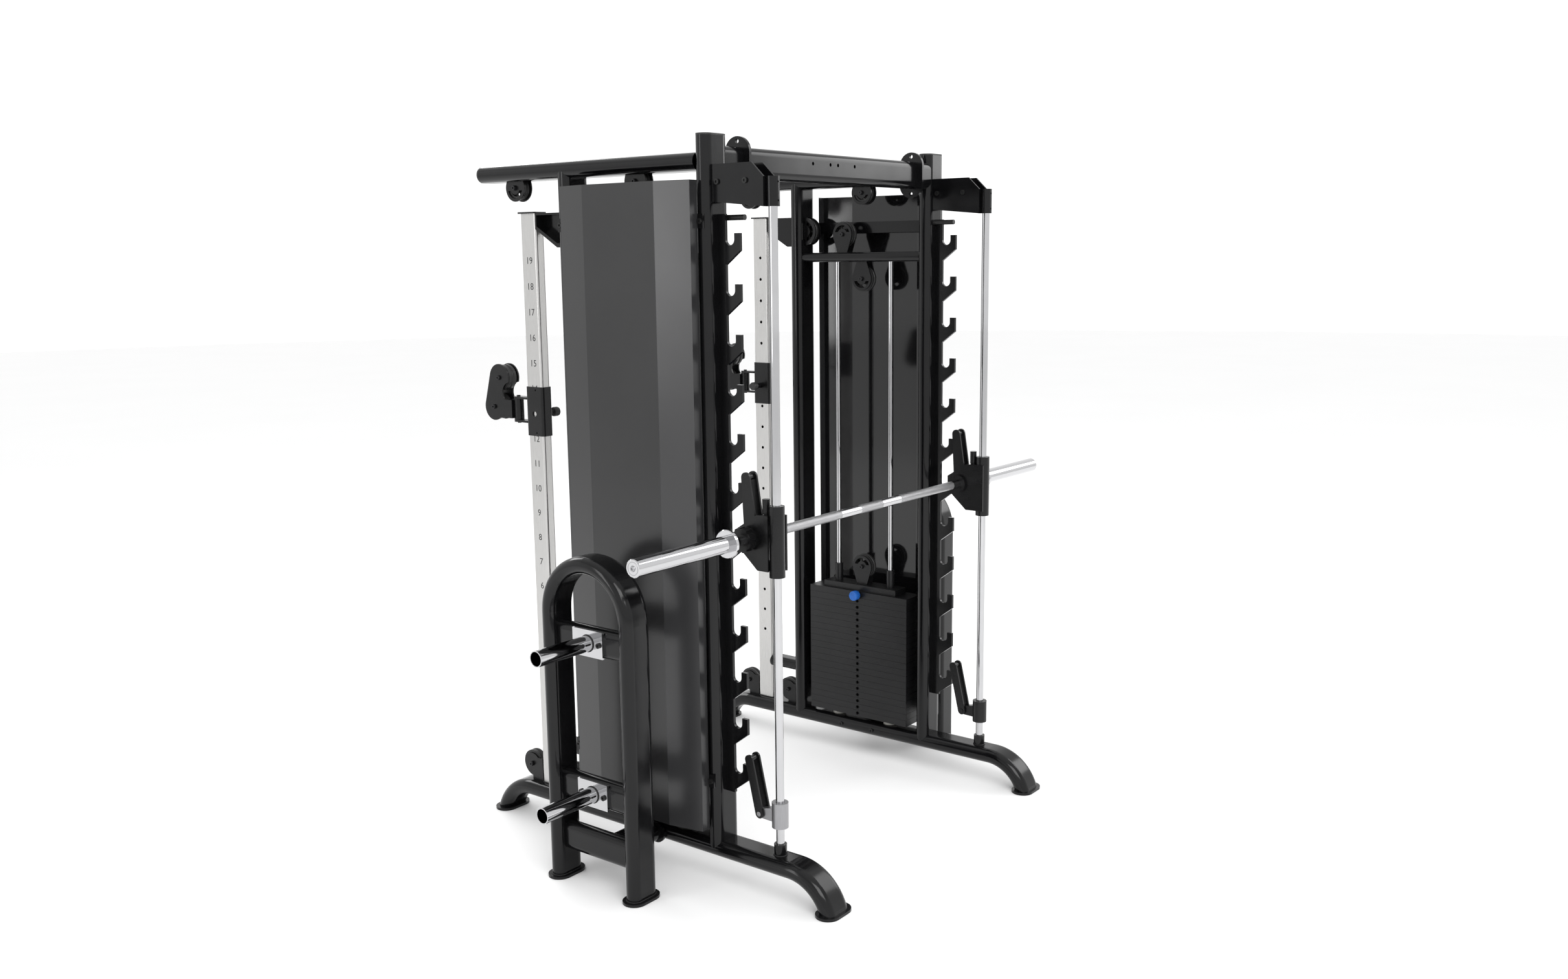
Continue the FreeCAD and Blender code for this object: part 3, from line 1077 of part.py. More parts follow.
fasteners = [bolt(*spec) for spec in bolts]
for side in (-1, 1):
    for y in BRACKET_STUD_YS:
        fasteners.append(stud(V(-FRAME_X + side * BRACKET_OUTER, y, BRACKET_STUD_Z), V(side, 0, 0)))
for y in RAIL_STUD_YS:
    fasteners.append(stud(V(-FRAME_X + TUBE_WIDE / 2, y, RAIL_Z), ALONG_X))
for z in STRAP_ZS:
    for y in (BOLT_FRONT_Y, REAR_Y):
        fasteners.append(stud(V(strap_x - STRAP_THICK, y, z + STRAP_TALL / 2), V(-1, 0, 0)))
peg_at = V(-FRAME_X + 18, FACE_Y - PEG_LONG, TOP_TIP_Z + RACK_ABOVE - 10)
fasteners.append(rod(PEG_R, peg_at, ALONG_Y, PEG_LONG))
save("frame_fasteners", both(fasteners))
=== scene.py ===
import bmesh
import bpy
import json
import math
from bpy.props import BoolProperty, FloatProperty, FloatVectorProperty, IntProperty, PointerProperty
from mathutils import Matrix, Vector
from mathutils.bvhtree import BVHTree

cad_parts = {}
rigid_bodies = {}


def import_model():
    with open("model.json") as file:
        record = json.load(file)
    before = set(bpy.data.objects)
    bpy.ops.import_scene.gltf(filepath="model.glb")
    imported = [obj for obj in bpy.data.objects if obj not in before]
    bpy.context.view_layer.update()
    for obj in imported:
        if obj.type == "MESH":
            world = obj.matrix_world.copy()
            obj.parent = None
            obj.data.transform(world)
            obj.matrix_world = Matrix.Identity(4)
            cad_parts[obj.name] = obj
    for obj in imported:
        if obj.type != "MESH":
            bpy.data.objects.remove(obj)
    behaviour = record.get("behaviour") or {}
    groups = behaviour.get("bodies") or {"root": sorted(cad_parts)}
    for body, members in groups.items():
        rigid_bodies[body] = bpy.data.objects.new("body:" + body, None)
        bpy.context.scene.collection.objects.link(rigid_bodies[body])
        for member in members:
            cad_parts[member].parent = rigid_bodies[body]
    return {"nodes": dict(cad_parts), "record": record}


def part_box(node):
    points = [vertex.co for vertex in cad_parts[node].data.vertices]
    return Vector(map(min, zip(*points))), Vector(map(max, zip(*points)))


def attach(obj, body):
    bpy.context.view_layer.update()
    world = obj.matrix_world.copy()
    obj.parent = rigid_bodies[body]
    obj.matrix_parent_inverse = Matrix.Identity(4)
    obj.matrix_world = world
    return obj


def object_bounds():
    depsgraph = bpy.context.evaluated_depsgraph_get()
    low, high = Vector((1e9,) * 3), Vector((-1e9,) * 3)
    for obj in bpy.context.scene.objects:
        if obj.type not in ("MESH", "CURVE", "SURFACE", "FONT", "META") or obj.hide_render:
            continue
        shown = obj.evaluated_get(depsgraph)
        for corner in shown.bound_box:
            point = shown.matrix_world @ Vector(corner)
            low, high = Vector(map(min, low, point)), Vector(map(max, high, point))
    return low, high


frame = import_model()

bl_info = {
    "name": "Smith Machine Finishes",
    "version": (1, 0, 0),
    "blender": (4, 5, 0),
    "location": "View3D > Sidebar > Smith Machine",
    "description": "Finishes, numbers, screws, welds and studio for a smith machine with cable columns",
    "category": "Object",
}

CAD_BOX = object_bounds()
JOINTS = {joint["name"]: joint for joint in frame["record"]["behaviour"]["joints"]}
PULLEYS = [joint for name, joint in JOINTS.items() if name.startswith("spin_")]
BODY_OF = {node: body for body, nodes in frame["record"]["behaviour"]["bodies"].items() for node in nodes}
SLOT_OF = {part["node"]: part["material_slot"] for part in frame["record"]["subparts"]}
X_AXIS, Y_AXIS, Z_AXIS = (1, 0, 0), (0, 1, 0), (0, 0, 1)

# ---- places on the machine, in metres ----
BAR_Y, BAR_Z = JOINTS["bar_twist"]["pos_m"][1:]
BAR_END = CAD_BOX[1].x
BAR_RADIUS = 0.014
CENTRE_KNURL = 0.060           # half its length
GRIP_KNURL = (0.168, 0.497)    # where each grip starts and ends, from the middle
SIDE_X = 0.578                 # plane of each side frame
RAIL_TOP = 0.1285              # just clear of the base rails
COLUMN_Y = 0.465
ROD_Y = -0.490
ARCH_X = 0.840
ARCH_Y = -0.019
ARCH_LEG = 0.156               # arch's middle to each leg
FOOT_TOP = 0.0085              # just clear of the foot plates
HORN_HEIGHTS = (0.755, 0.295)
HORN_ROOT_X = 0.8715
STACK_FACE = 0.530
STACK_Y = 0.004
STACK_ROWS = 19                # plates under the top plate
PLATE_GAP = 0.0006
PIN_RISE = 0.0117              # plate's underside to its pin hole
INK_THICK = 0.0002


# ---- node trees for the finishes ----
class Finish:
    """A material being built: adds nodes, joins them, and ends in one Principled shader."""

    def __init__(self, name):
        self.material = bpy.data.materials.new(name)
        self.material.use_nodes = True
        self.tree = self.material.node_tree
        self.shader = self.tree.nodes["Principled BSDF"]
        self.where = self.add("ShaderNodeTexCoord").outputs["Object"]

    def add(self, kind, **settings):
        node = self.tree.nodes.new(kind)
        for key, value in settings.items():
            setattr(node, key, value)
        return node

    def feed(self, source, socket):
        self.tree.links.new(source, socket)

    def set(self, **values):
        for key, value in values.items():
            self.shader.inputs[key.replace("_", " ")].default_value = value

    def stretched(self, scale):
        """Object coordinates scaled apart, so that grain runs along the smallest number."""
        mapping = self.add("ShaderNodeMapping")
        mapping.inputs["Scale"].default_value = scale
        self.feed(self.where, mapping.inputs["Vector"])
        return mapping.outputs["Vector"]

    def noise(self, scale, detail=3.0, where=None, rough=0.55):
        node = self.add("ShaderNodeTexNoise")
        node.inputs["Scale"].default_value = scale
        node.inputs["Detail"].default_value = detail
        node.inputs["Roughness"].default_value = rough
        self.feed(where or self.where, node.inputs["Vector"])
        return node.outputs["Fac"]

    def span(self, value, low, high, start=0.0, end=1.0):
        """value from low..high moved to start..end, clamped."""
        node = self.add("ShaderNodeMapRange")
        for key, number in (("From Min", low), ("From Max", high), ("To Min", start), ("To Max", end)):
            node.inputs[key].default_value = number
        self.feed(value, node.inputs["Value"])
        return node.outputs["Result"]

    def sum(self, operation, first, second):
        node = self.add("ShaderNodeMath", operation=operation)
        for socket, value in zip(node.inputs, (first, second)):
            if isinstance(value, bpy.types.NodeSocket):
                self.feed(value, socket)
            else:
                socket.default_value = value
        return node.outputs["Value"]

    def blend(self, factor, first, second):
        """Mix of two colours, each a colour or a socket."""
        node = self.add("ShaderNodeMix", data_type="RGBA")
        self.feed(factor, node.inputs["Factor"])
        for socket, value in ((node.inputs[6], first), (node.inputs[7], second)):
            if isinstance(value, bpy.types.NodeSocket):
                self.feed(value, socket)
            else:
                socket.default_value = (*value[:3], 1.0)
        return node.outputs[2]

    def bump(self, height, strength, distance):
        node = self.add("ShaderNodeBump")
        node.inputs["Strength"].default_value = strength
        node.inputs["Distance"].default_value = distance
        self.feed(height, node.inputs["Height"])
        if self.shader.inputs["Normal"].is_linked:
            self.feed(self.shader.inputs["Normal"].links[0].from_socket, node.inputs["Normal"])
        self.feed(node.outputs["Normal"], self.shader.inputs["Normal"])

    def facing(self, axis):
        """How far the surface faces along X, Y or Z."""
        split = self.add("ShaderNodeSeparateXYZ")
        self.feed(self.add("ShaderNodeNewGeometry").outputs["Normal"], split.inputs["Vector"])
        return split.outputs[axis]

    def at(self, axis):
        split = self.add("ShaderNodeSeparateXYZ")
        self.feed(self.where, split.inputs["Vector"])
        return split.outputs[axis]

    def colour(self, source):
        self.feed(source, self.shader.inputs["Base Color"])

    def roughness(self, source):
        self.feed(source, self.shader.inputs["Roughness"])


def darker(colour, amount):
    """A colour scaled by an amount, which over 1 makes it lighter."""
    return tuple(channel * amount for channel in colour[:3])


def powder_coat(name, colour, gloss, peel):
    """Baked powder paint: orange peel, faint cloudiness, and a little dust on what faces up."""
    paint = Finish(name)
    cloud = paint.noise(9.0, 4.0)
    speck = paint.noise(900.0, 2.0)
    base = paint.blend(paint.span(cloud, 0.35, 0.7), darker(colour, 0.8), darker(colour, 1.25))
    upward = paint.span(paint.facing("Z"), 0.6, 1.0)
    dust = paint.sum("MULTIPLY", upward, paint.span(speck, 0.5, 0.75, 0.0, 0.05))
    paint.colour(paint.blend(dust, base, (0.30, 0.30, 0.29)))
    patchy = paint.span(cloud, 0.3, 0.75, gloss, gloss + 0.07)
    paint.roughness(paint.sum("ADD", patchy, paint.span(speck, 0.45, 0.7, 0.0, 0.03)))
    paint.bump(paint.noise(260.0, 2.0), peel, 0.0004)
    paint.set(IOR=1.36)
    return paint.material


def chromed(name, colour, grain):
    """Polished chrome plate with hair scratches that run round or along the part."""
    plate = Finish(name)
    hair = plate.noise(40.0, 6.0, plate.stretched(grain), 0.7)
    haze = plate.noise(14.0, 3.0)
    plate.colour(plate.blend(plate.span(haze, 0.3, 0.75), darker(colour, 0.94), colour))
    scratched = plate.span(hair, 0.45, 0.75, 0.035, 0.12)
    plate.roughness(plate.sum("ADD", scratched, plate.span(haze, 0.5, 0.8, 0.0, 0.04)))
    plate.bump(hair, 0.05, 0.0002)
    plate.set(Metallic=1.0)
    return plate.material


def brushed(name, colour, grain, low, high):
    """Satin metal with brushing along the part."""
    metal = Finish(name)
    lines = metal.noise(30.0, 5.0, metal.stretched(grain), 0.75)
    cloud = metal.noise(5.0, 3.0)
    metal.colour(metal.blend(metal.span(lines, 0.3, 0.75), darker(colour, 0.82), colour))
    combed = metal.span(lines, 0.3, 0.8, low, high)
    metal.roughness(metal.sum("ADD", combed, metal.span(cloud, 0.4, 0.7, 0.0, 0.05)))
    metal.bump(lines, 0.12, 0.0003)
    metal.set(Metallic=1.0)
    return metal.material


def moulded(name, colour, rough, grain):
    """Moulded plastic with a spark-eroded grain."""
    plastic = Finish(name)
    pit = plastic.noise(grain, 3.0)
    cloud = plastic.noise(20.0, 3.0)
    plastic.colour(plastic.blend(plastic.span(cloud, 0.3, 0.7), darker(colour, 0.85), darker(colour, 1.2)))
    plastic.roughness(plastic.span(pit, 0.3, 0.7, rough - 0.05, rough + 0.08))
    plastic.bump(pit, 0.22, 0.0003)
    plastic.set(Specular_IOR_Level=0.3)
    return plastic.material


def stack_paint(name, colour):
    """Hammer-smooth paint on cast stack plates, a little lighter in scattered specks."""
    paint = Finish(name)
    cast = paint.noise(120.0, 5.0, None, 0.65)
    cloud = paint.noise(7.0, 3.0)
    base = paint.blend(paint.span(cloud, 0.3, 0.7), darker(colour, 0.8), darker(colour, 1.3))
    paint.colour(paint.blend(paint.span(cast, 0.55, 0.8, 0.0, 0.35), base, darker(colour, 1.9)))
    paint.roughness(paint.span(cast, 0.3, 0.75, 0.28, 0.46))
    paint.bump(cast, 0.16, 0.0005)
    paint.set(Specular_IOR_Level=0.32)
    return paint.material


def shroud_paint(name, outside, inside):
    """Painted sheet: satin grey outside, with a painted highlight that makes the forward-facing facet
    lightest, and gloss black towards the stack.
    """
    sheet = Finish(name)
    outward = sheet.sum("MULTIPLY", sheet.facing("X"), sheet.sum("SIGN", sheet.at("X"), 0.0))
    side = sheet.span(outward, -0.15, 0.05)
    cloud = sheet.noise(4.0, 3.0)
    grey = sheet.blend(sheet.span(cloud, 0.3, 0.7), darker(outside, 0.92), darker(outside, 1.08))
    # Painted highlight: faces turned towards -Y get a colour about twice as light as the grey.
    painted_front_highlight = sheet.span(sheet.facing("Y"), -0.06, -0.16)
    facets = sheet.blend(painted_front_highlight, grey, darker(outside, 2.1))
    sheet.colour(sheet.blend(side, inside, facets))
    satin = sheet.span(side, 0.0, 1.0, 0.04, 0.22)
    sheet.roughness(sheet.sum("ADD", satin, sheet.span(cloud, 0.3, 0.7, 0.0, 0.05)))
    sheet.bump(sheet.noise(330.0, 2.0), 0.07, 0.0003)
    sheet.set(IOR=1.5)
    return sheet.material


def rubber_finish(name, colour):
    """Dull rubber with a dusty bloom."""
    rubber = Finish(name)
    bloom = rubber.noise(35.0, 4.0)
    rubber.colour(rubber.blend(rubber.span(bloom, 0.3, 0.75), darker(colour, 0.85), colour))
    rubber.roughness(rubber.span(bloom, 0.3, 0.7, 0.62, 0.8))
    rubber.bump(rubber.noise(700.0, 3.0), 0.25, 0.0004)
    return rubber.material


def printed_ink(name, colour):
    """Screen-printed ink, a little thin in places."""
    ink = Finish(name)
    thin = ink.noise(420.0, 3.0)
    ink.colour(ink.blend(ink.span(thin, 0.5, 0.8), colour, darker(colour, 2.2)))
    ink.roughness(ink.span(thin, 0.3, 0.7, 0.42, 0.58))
    return ink.material


def knurled(name, colour):
    """Chromed bar: diamond knurl on the grips and the middle, with painted shade darkening the knurl's
    valleys, plain polish elsewhere and on the sleeves.
    """
    bar = Finish(name)
    edge = 0.003
    ridges_round = 40.0
    lengthwise = bar.at("X")
    reach = bar.sum("ABSOLUTE", lengthwise, 0.0)
    start, end = GRIP_KNURL
    grips = bar.sum("MULTIPLY", bar.span(reach, start - edge, start), bar.span(reach, end + edge, end))
    centre = bar.span(reach, CENTRE_KNURL + 0.002, CENTRE_KNURL)
    zone = bar.sum("MAXIMUM", grips, centre)
    behind = bar.sum("SUBTRACT", bar.at("Y"), BAR_Y)
    turn = bar.sum("ARCTAN2", behind, bar.sum("SUBTRACT", bar.at("Z"), BAR_Z))
    around = bar.sum("MULTIPLY", turn, ridges_round)
    along = bar.sum("MULTIPLY", lengthwise, ridges_round / BAR_RADIUS)
    ridges = [bar.sum("SINE", bar.sum(way, around, along), 0.0) for way in ("ADD", "SUBTRACT")]
    diamond = bar.sum("MULTIPLY", bar.sum("MAXIMUM", *ridges), zone)
    hair = bar.noise(40.0, 6.0, bar.stretched((1.0, 30.0, 30.0)), 0.7)
    # Painted shade: the colour is darkened in the valleys of the knurl.
    shade = bar.sum("MULTIPLY", bar.span(diamond, -0.2, 0.9, 0.35, 0.0), zone)
    bar.colour(bar.blend(shade, colour, darker(colour, 0.25)))
    bar.roughness(bar.sum("ADD", bar.span(hair, 0.45, 0.75, 0.04, 0.11), bar.sum("MULTIPLY", zone, 0.16)))
    bar.bump(diamond, 0.6, 0.0004)
    bar.set(Metallic=1.0)
    return bar.material


# ---- settings a user would change ----
def colour_prop(name, description, default):
    """A colour that a user may change."""
    return FloatVectorProperty(name=name, description=description, default=default, subtype="COLOR",
                               min=0.0, max=1.0, size=3)


def length_prop(name, description, default):
    """A length in metres that a user may change."""
    return FloatProperty(name=name, description=description, default=default, unit="LENGTH")


class SmithPaints(bpy.types.PropertyGroup):
    frame_black: colour_prop("Frame paint", "Powder coat on the tubes and the hook racks",
                             (0.0030, 0.0030, 0.0034))
    bracket_black: colour_prop("Bracket paint", "Satin coat on carriages, latches and pulley brackets",
                               (0.0040, 0.0040, 0.0043))
    shroud_grey: colour_prop("Shroud paint", "Outer facets of the stack shrouds", (0.012, 0.012, 0.0125))
    stack_grey: colour_prop("Stack paint", "Weight stack plates and their head", (0.006, 0.006, 0.0065))
    chrome: colour_prop("Chrome", "Rods, bar, sleeves and plate horns", (0.52, 0.52, 0.53))
    column_satin: colour_prop("Column metal", "Satin cable columns", (0.56, 0.555, 0.545))
    selector_blue: colour_prop("Selector knob", "Knob of the stack's selector pin", (0.015, 0.11, 0.42))
    bumper: colour_prop("Stack bumpers", "Pads under the weight stacks", (0.42, 0.41, 0.38))
    ink: colour_prop("Printed numbers", "Numbers down the cable columns", (0.006, 0.006, 0.007))
    gloss: FloatProperty(name="Frame gloss", description="Lowest roughness of the frame's powder coat",
                         default=0.11, min=0.02, max=0.8, subtype="FACTOR")


class SmithNumbers(bpy.types.PropertyGroup):
    tall: length_prop("Number height", "Height of a printed number", 0.021)
    pitch: length_prop("Number pitch", "Step between the column's holes", 0.080)
    top: length_prop("Top hole", "Height of the column's top hole", 1.845)
    count: IntProperty(name="Numbers", description="How many holes are numbered", default=19, min=1)


class SmithDetails(bpy.types.PropertyGroup):
    screw_radius: length_prop("Screw radius", "Radius of an axle screw's head", 0.0078)
    screw_height: length_prop("Screw height", "Height of an axle screw's head", 0.0040)
    bead_radius: length_prop("Weld bead", "Radius of one ripple of weld", 0.0028)
    bead_pitch: length_prop("Weld ripple", "Step between ripples of weld", 0.0026)
    hole_radius: length_prop("Pin hole rim", "Radius of the rim round a pin hole", 0.0074)
    lip_wire: length_prop("Lip wire", "Radius of the wire that forms lips and rims", 0.0009)
    lip_share: FloatProperty(name="Pulley lip", description="Radius of a lip over its pulley's radius",
                             default=0.84, min=0.5, max=0.95)
    ribs: IntProperty(name="Knob ribs", description="Grip ribs round each pull knob", default=28, min=6)
    rib_radius: length_prop("Rib radius", "Radius of one grip rib", 0.0009)


class SmithStudio(bpy.types.PropertyGroup):
    floor: colour_prop("Floor", "Pale studio floor", (0.97, 0.97, 0.97))
    floor_radius: length_prop("Floor radius", "Radius of the round floor", 30.0)
    key_power: FloatProperty(name="Key light", description="Power of the key light in watts",
                             default=260.0, subtype="POWER")
    fill_power: FloatProperty(name="Fill light", description="Power of the fill light in watts",
                              default=110.0, subtype="POWER")
    world: FloatProperty(name="Surround", description="Brightness of the pale surround", default=1.12)


# ---- finishes on the model's own nodes ----
def dress(node, material):
    """Give a node of the model one material."""
    slots = frame["nodes"][node].data.materials
    slots.clear()
    slots.append(material)


class SMITH_OT_finishes(bpy.types.Operator):
    """Give every part of the machine its paint, plating or plastic"""
    bl_idname = "smith.finishes"
    bl_label = "Finishes"

    def execute(self, context):
        paints = context.scene.smith_paints
        chrome_long = chromed("Chrome_rods", paints.chrome, (30.0, 30.0, 1.0))
        chrome_cross = chromed("Chrome_horns", paints.chrome, (1.0, 30.0, 30.0))
        satin = powder_coat("Satin_black_brackets", paints.bracket_black, 0.24, 0.10)
        by_slot = {
            "black_steel": powder_coat("Gloss_black_frame", paints.frame_black, paints.gloss, 0.045),
            "bracket_black": satin,
            "chrome": chrome_long,
            "column_satin": brushed("Satin_columns", paints.column_satin, (24.0, 24.0, 0.6), 0.24, 0.36),
            "shroud_grey": shroud_paint("Shroud_two_tone", paints.shroud_grey, (0.005, 0.005, 0.0055)),
            "plate_steel": stack_paint("Stack_plates", paints.stack_grey),
            "pulley_plastic": moulded("Pulley_nylon", (0.018, 0.018, 0.018), 0.34, 260.0),
            "knob_plastic": moulded("Knob_plastic", (0.022, 0.022, 0.022), 0.40, 420.0),
            "selector_blue": moulded("Selector_blue", paints.selector_blue, 0.26, 300.0),
            "stop_satin": brushed("Stop_collar_satin", (0.36, 0.36, 0.37), (20.0, 20.0, 1.0), 0.30, 0.42),
            "cap_plastic": moulded("End_caps", (0.020, 0.020, 0.020), 0.42, 380.0),
            "foot_rubber": powder_coat("Foot_plates", paints.frame_black, 0.20, 0.08),
            "bumper_rubber": rubber_finish("Stack_bumpers", paints.bumper),
            "black_bolts": powder_coat("Black_oxide", (0.010, 0.010, 0.010), 0.22, 0.05),
        }
        for node, slot in SLOT_OF.items():
            dress(node, by_slot[slot])
        dress("plate_horns", chrome_cross)
        dress("smith_bar", knurled("Knurled_chrome_bar", paints.chrome))
        return {"FINISHED"}


# ---- numbers down the columns ----
def riding(name, mesh, body):
    """A finished mesh as a piece that moves with a body."""
    mesh.name = name
    piece = bpy.data.objects.new(name, mesh)
    bpy.context.scene.collection.objects.link(piece)
    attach(piece, body)


def joined(meshes, material):
    """One flat-shaded mesh from several that are already in place."""
    whole = bmesh.new()
    for mesh in meshes:
        whole.from_mesh(mesh)
        bpy.data.meshes.remove(mesh)
    bmesh.ops.remove_doubles(whole, verts=whole.verts, dist=1e-6)
    bmesh.ops.recalc_face_normals(whole, faces=whole.faces)
    mesh = bpy.data.meshes.new("joined")
    whole.to_mesh(mesh)
    whole.free()
    for face in mesh.polygons:
        face.use_smooth = False
    mesh.materials.append(material)
    return mesh


def glyph_mesh(words, tall, thick):
    """Text as a mesh in its own XY plane, centred on the origin."""
    text = bpy.data.curves.new("glyph", "FONT")
    text.body = words
    text.size = tall / 0.7
    text.align_x = "CENTER"
    text.align_y = "CENTER"
    text.extrude = thick
    text.resolution_u = 3
    holder = bpy.data.objects.new("glyph", text)
    bpy.context.scene.collection.objects.link(holder)
    bpy.context.view_layer.update()
    mesh = bpy.data.meshes.new_from_object(holder.evaluated_get(bpy.context.evaluated_depsgraph_get()))
    bpy.data.objects.remove(holder)
    bpy.data.curves.remove(text)
    return mesh


class SMITH_OT_numbers(bpy.types.Operator):
    """Print the hole numbers down both cable columns"""
    bl_idname = "smith.numbers"
    bl_label = "Column numbers"

    def execute(self, context):
        settings = context.scene.smith_numbers
        ink = printed_ink("Number_ink", context.scene.smith_paints.ink)
        low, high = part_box("cable_columns")
        middle_y = (low.y + high.y) / 2
        quarter = math.radians(90)
        for side, name in ((-1, "column_numbers_left"), (1, "column_numbers_right")):
            face = side * max(abs(low.x), abs(high.x))
            turn = Matrix.Rotation(side * quarter, 4, "Z") @ Matrix.Rotation(quarter, 4, "X")
            meshes = []
            for i in range(settings.count):
                mesh = glyph_mesh(str(i + 1), settings.tall, INK_THICK)
                z = settings.top - (settings.count - 1 - i) * settings.pitch
                mesh.transform(Matrix.Translation((face, middle_y, z)) @ turn)
                meshes.append(mesh)
            riding(name, joined(meshes, ink), BODY_OF["cable_columns"])
        return {"FINISHED"}


# ---- grown detail: screws, weld beads, rims and ribs ----
class Growth:
    """A geometry tree being built, with named sizes and one material."""

    def __init__(self, name, sizes):
        self.tree = bpy.data.node_groups.new(name, "GeometryNodeTree")
        face = self.tree.interface
        face.new_socket("Geometry", in_out="INPUT", socket_type="NodeSocketGeometry")
        self.keys = {size: face.new_socket(size, in_out="INPUT", socket_type="NodeSocketFloat").identifier
                     for size in sizes}
        self.keys["Finish"] = face.new_socket("Finish", in_out="INPUT",
                                              socket_type="NodeSocketMaterial").identifier
        face.new_socket("Geometry", in_out="OUTPUT", socket_type="NodeSocketGeometry")
        self.entry = self.add("NodeGroupInput").outputs

    def add(self, kind, links=None, **settings):
        """A node with its settings; links maps an input's name to a socket or a constant."""
        node = self.tree.nodes.new(kind)
        for key, value in settings.items():
            setattr(node, key, value)
        for key, value in (links or {}).items():
            if isinstance(value, bpy.types.NodeSocket):
                self.tree.links.new(value, node.inputs[key])
            else:
                node.inputs[key].default_value = value
        return node

    def maths(self, operation, first, second):
        """One operation on two numbers or sockets."""
        return self.add("ShaderNodeMath", {0: first, 1: second}, operation=operation).outputs[0]

    def vector(self, **parts):
        """A vector from the parts given; the others are zero."""
        return self.add("ShaderNodeCombineXYZ", parts).outputs[0]

    def aimed(self):
        """Rotation that turns local Z along each point's aim."""
        aim = self.add("GeometryNodeInputNamedAttribute", {"Name": "aim"}, data_type="FLOAT_VECTOR")
        return self.add("FunctionNodeAlignRotationToVector", {"Vector": aim.outputs[0]}, axis="Z").outputs[0]

    def placed(self, points, shape, rotation=None):
        """The shape on every point."""
        links = {"Points": points, "Instance": shape}
        if rotation is not None:
            links["Rotation"] = rotation
        return self.add("GeometryNodeInstanceOnPoints", links).outputs[0]

    def finish(self, geometry, smooth=True):
        """Shade the geometry, make its instances real and give it its material."""
        shaded = self.add("GeometryNodeSetShadeSmooth", {"Geometry": geometry, "Shade Smooth": smooth})
        real = self.add("GeometryNodeRealizeInstances", {"Geometry": shaded.outputs[0]})
        painted = self.add("GeometryNodeSetMaterial", {
            "Geometry": real.outputs[0], "Material": self.entry["Finish"]})
        self.add("NodeGroupOutput", {"Geometry": painted.outputs[0]})
        return self


def grown(growth, carrier, sizes, finish):
    """The mesh that the tree makes on the carrier mesh."""
    holder = bpy.data.objects.new("carrier", carrier)
    bpy.context.scene.collection.objects.link(holder)
    modifier = holder.modifiers.new("grow", "NODES")
    modifier.node_group = growth.tree
    modifier[growth.keys["Finish"]] = finish
    for size, value in sizes.items():
        modifier[growth.keys[size]] = value
    bpy.context.view_layer.update()
    mesh = bpy.data.meshes.new_from_object(holder.evaluated_get(bpy.context.evaluated_depsgraph_get()))
    bpy.data.objects.remove(holder)
    bpy.data.meshes.remove(carrier)
    return mesh


def aimed_points(places):
    """Loose points, each with the direction that its instance faces."""
    mesh = bpy.data.meshes.new("aimed_points")
    mesh.from_pydata([place for place, _ in places], [], [])
    aim = mesh.attributes.new("aim", "FLOAT_VECTOR", "POINT")
    for i, (_, direction) in enumerate(places):
        aim.data[i].vector = direction
    return mesh


def paths(lines):
    """Closed runs of points as mesh edges."""
    mesh = bpy.data.meshes.new("paths")
    points, edges = [], []
    for line in lines:
        first = len(points)
        points += [tuple(point) for point in line]
        edges += [(first + i, first + i + 1) for i in range(len(line) - 1)]
        edges.append((len(points) - 1, first))
    mesh.from_pydata(points, edges, [])
    return mesh


def screw_growth():
    """Button heads with a hexagon socket, one on each point, facing along its aim."""
    tree = Growth("Screw_heads", ("Head radius", "Head height", "Socket radius"))
    radius, height = tree.entry["Head radius"], tree.entry["Head height"]
    head = tree.add("GeometryNodeMeshCone", {
        "Vertices": 20, "Side Segments": 1, "Radius Bottom": radius,
        "Radius Top": tree.maths("MULTIPLY", radius, 0.84), "Depth": height})
    hexagon = tree.add("GeometryNodeMeshCylinder", {
        "Vertices": 6, "Radius": tree.entry["Socket radius"], "Depth": tree.maths("MULTIPLY", height, 1.8)})
    raised = tree.add("GeometryNodeTransform", {
        "Geometry": hexagon.outputs["Mesh"],
        "Translation": tree.vector(Z=tree.maths("MULTIPLY", height, 1.15))}).outputs[0]
    cut = tree.add("GeometryNodeMeshBoolean", {"Mesh 1": head.outputs["Mesh"], "Mesh 2": raised},
                   operation="DIFFERENCE").outputs[0]
    return tree.finish(tree.placed(tree.entry["Geometry"], cut, tree.aimed()), smooth=False)


def weld_growth():
    """Overlapping ripples of weld along each path."""
    tree = Growth("Weld_beads", ("Bead radius", "Ripple pitch"))
    curve = tree.add("GeometryNodeMeshToCurve", {"Mesh": tree.entry["Geometry"]}).outputs[0]
    even = tree.add("GeometryNodeResampleCurve", {"Curve": curve, "Length": tree.entry["Ripple pitch"]},
                    mode="LENGTH")
    ripple = tree.add("GeometryNodeMeshUVSphere", {
        "Segments": 8, "Rings": 5, "Radius": tree.entry["Bead radius"]})
    return tree.finish(tree.placed(even.outputs[0], ripple.outputs["Mesh"]))


def rim_growth():
    """A rounded ring on each point, facing along its aim."""
    tree = Growth("Hole_rims", ("Rim radius", "Wire radius"))
    circle = tree.add("GeometryNodeCurvePrimitiveCircle", {
        "Resolution": 24, "Radius": tree.entry["Rim radius"]})
    wire = tree.add("GeometryNodeCurvePrimitiveCircle", {
        "Resolution": 8, "Radius": tree.entry["Wire radius"]})
    ring = tree.add("GeometryNodeCurveToMesh", {"Curve": circle.outputs[0], "Profile Curve": wire.outputs[0]})
    return tree.finish(tree.placed(tree.entry["Geometry"], ring.outputs[0], tree.aimed()))


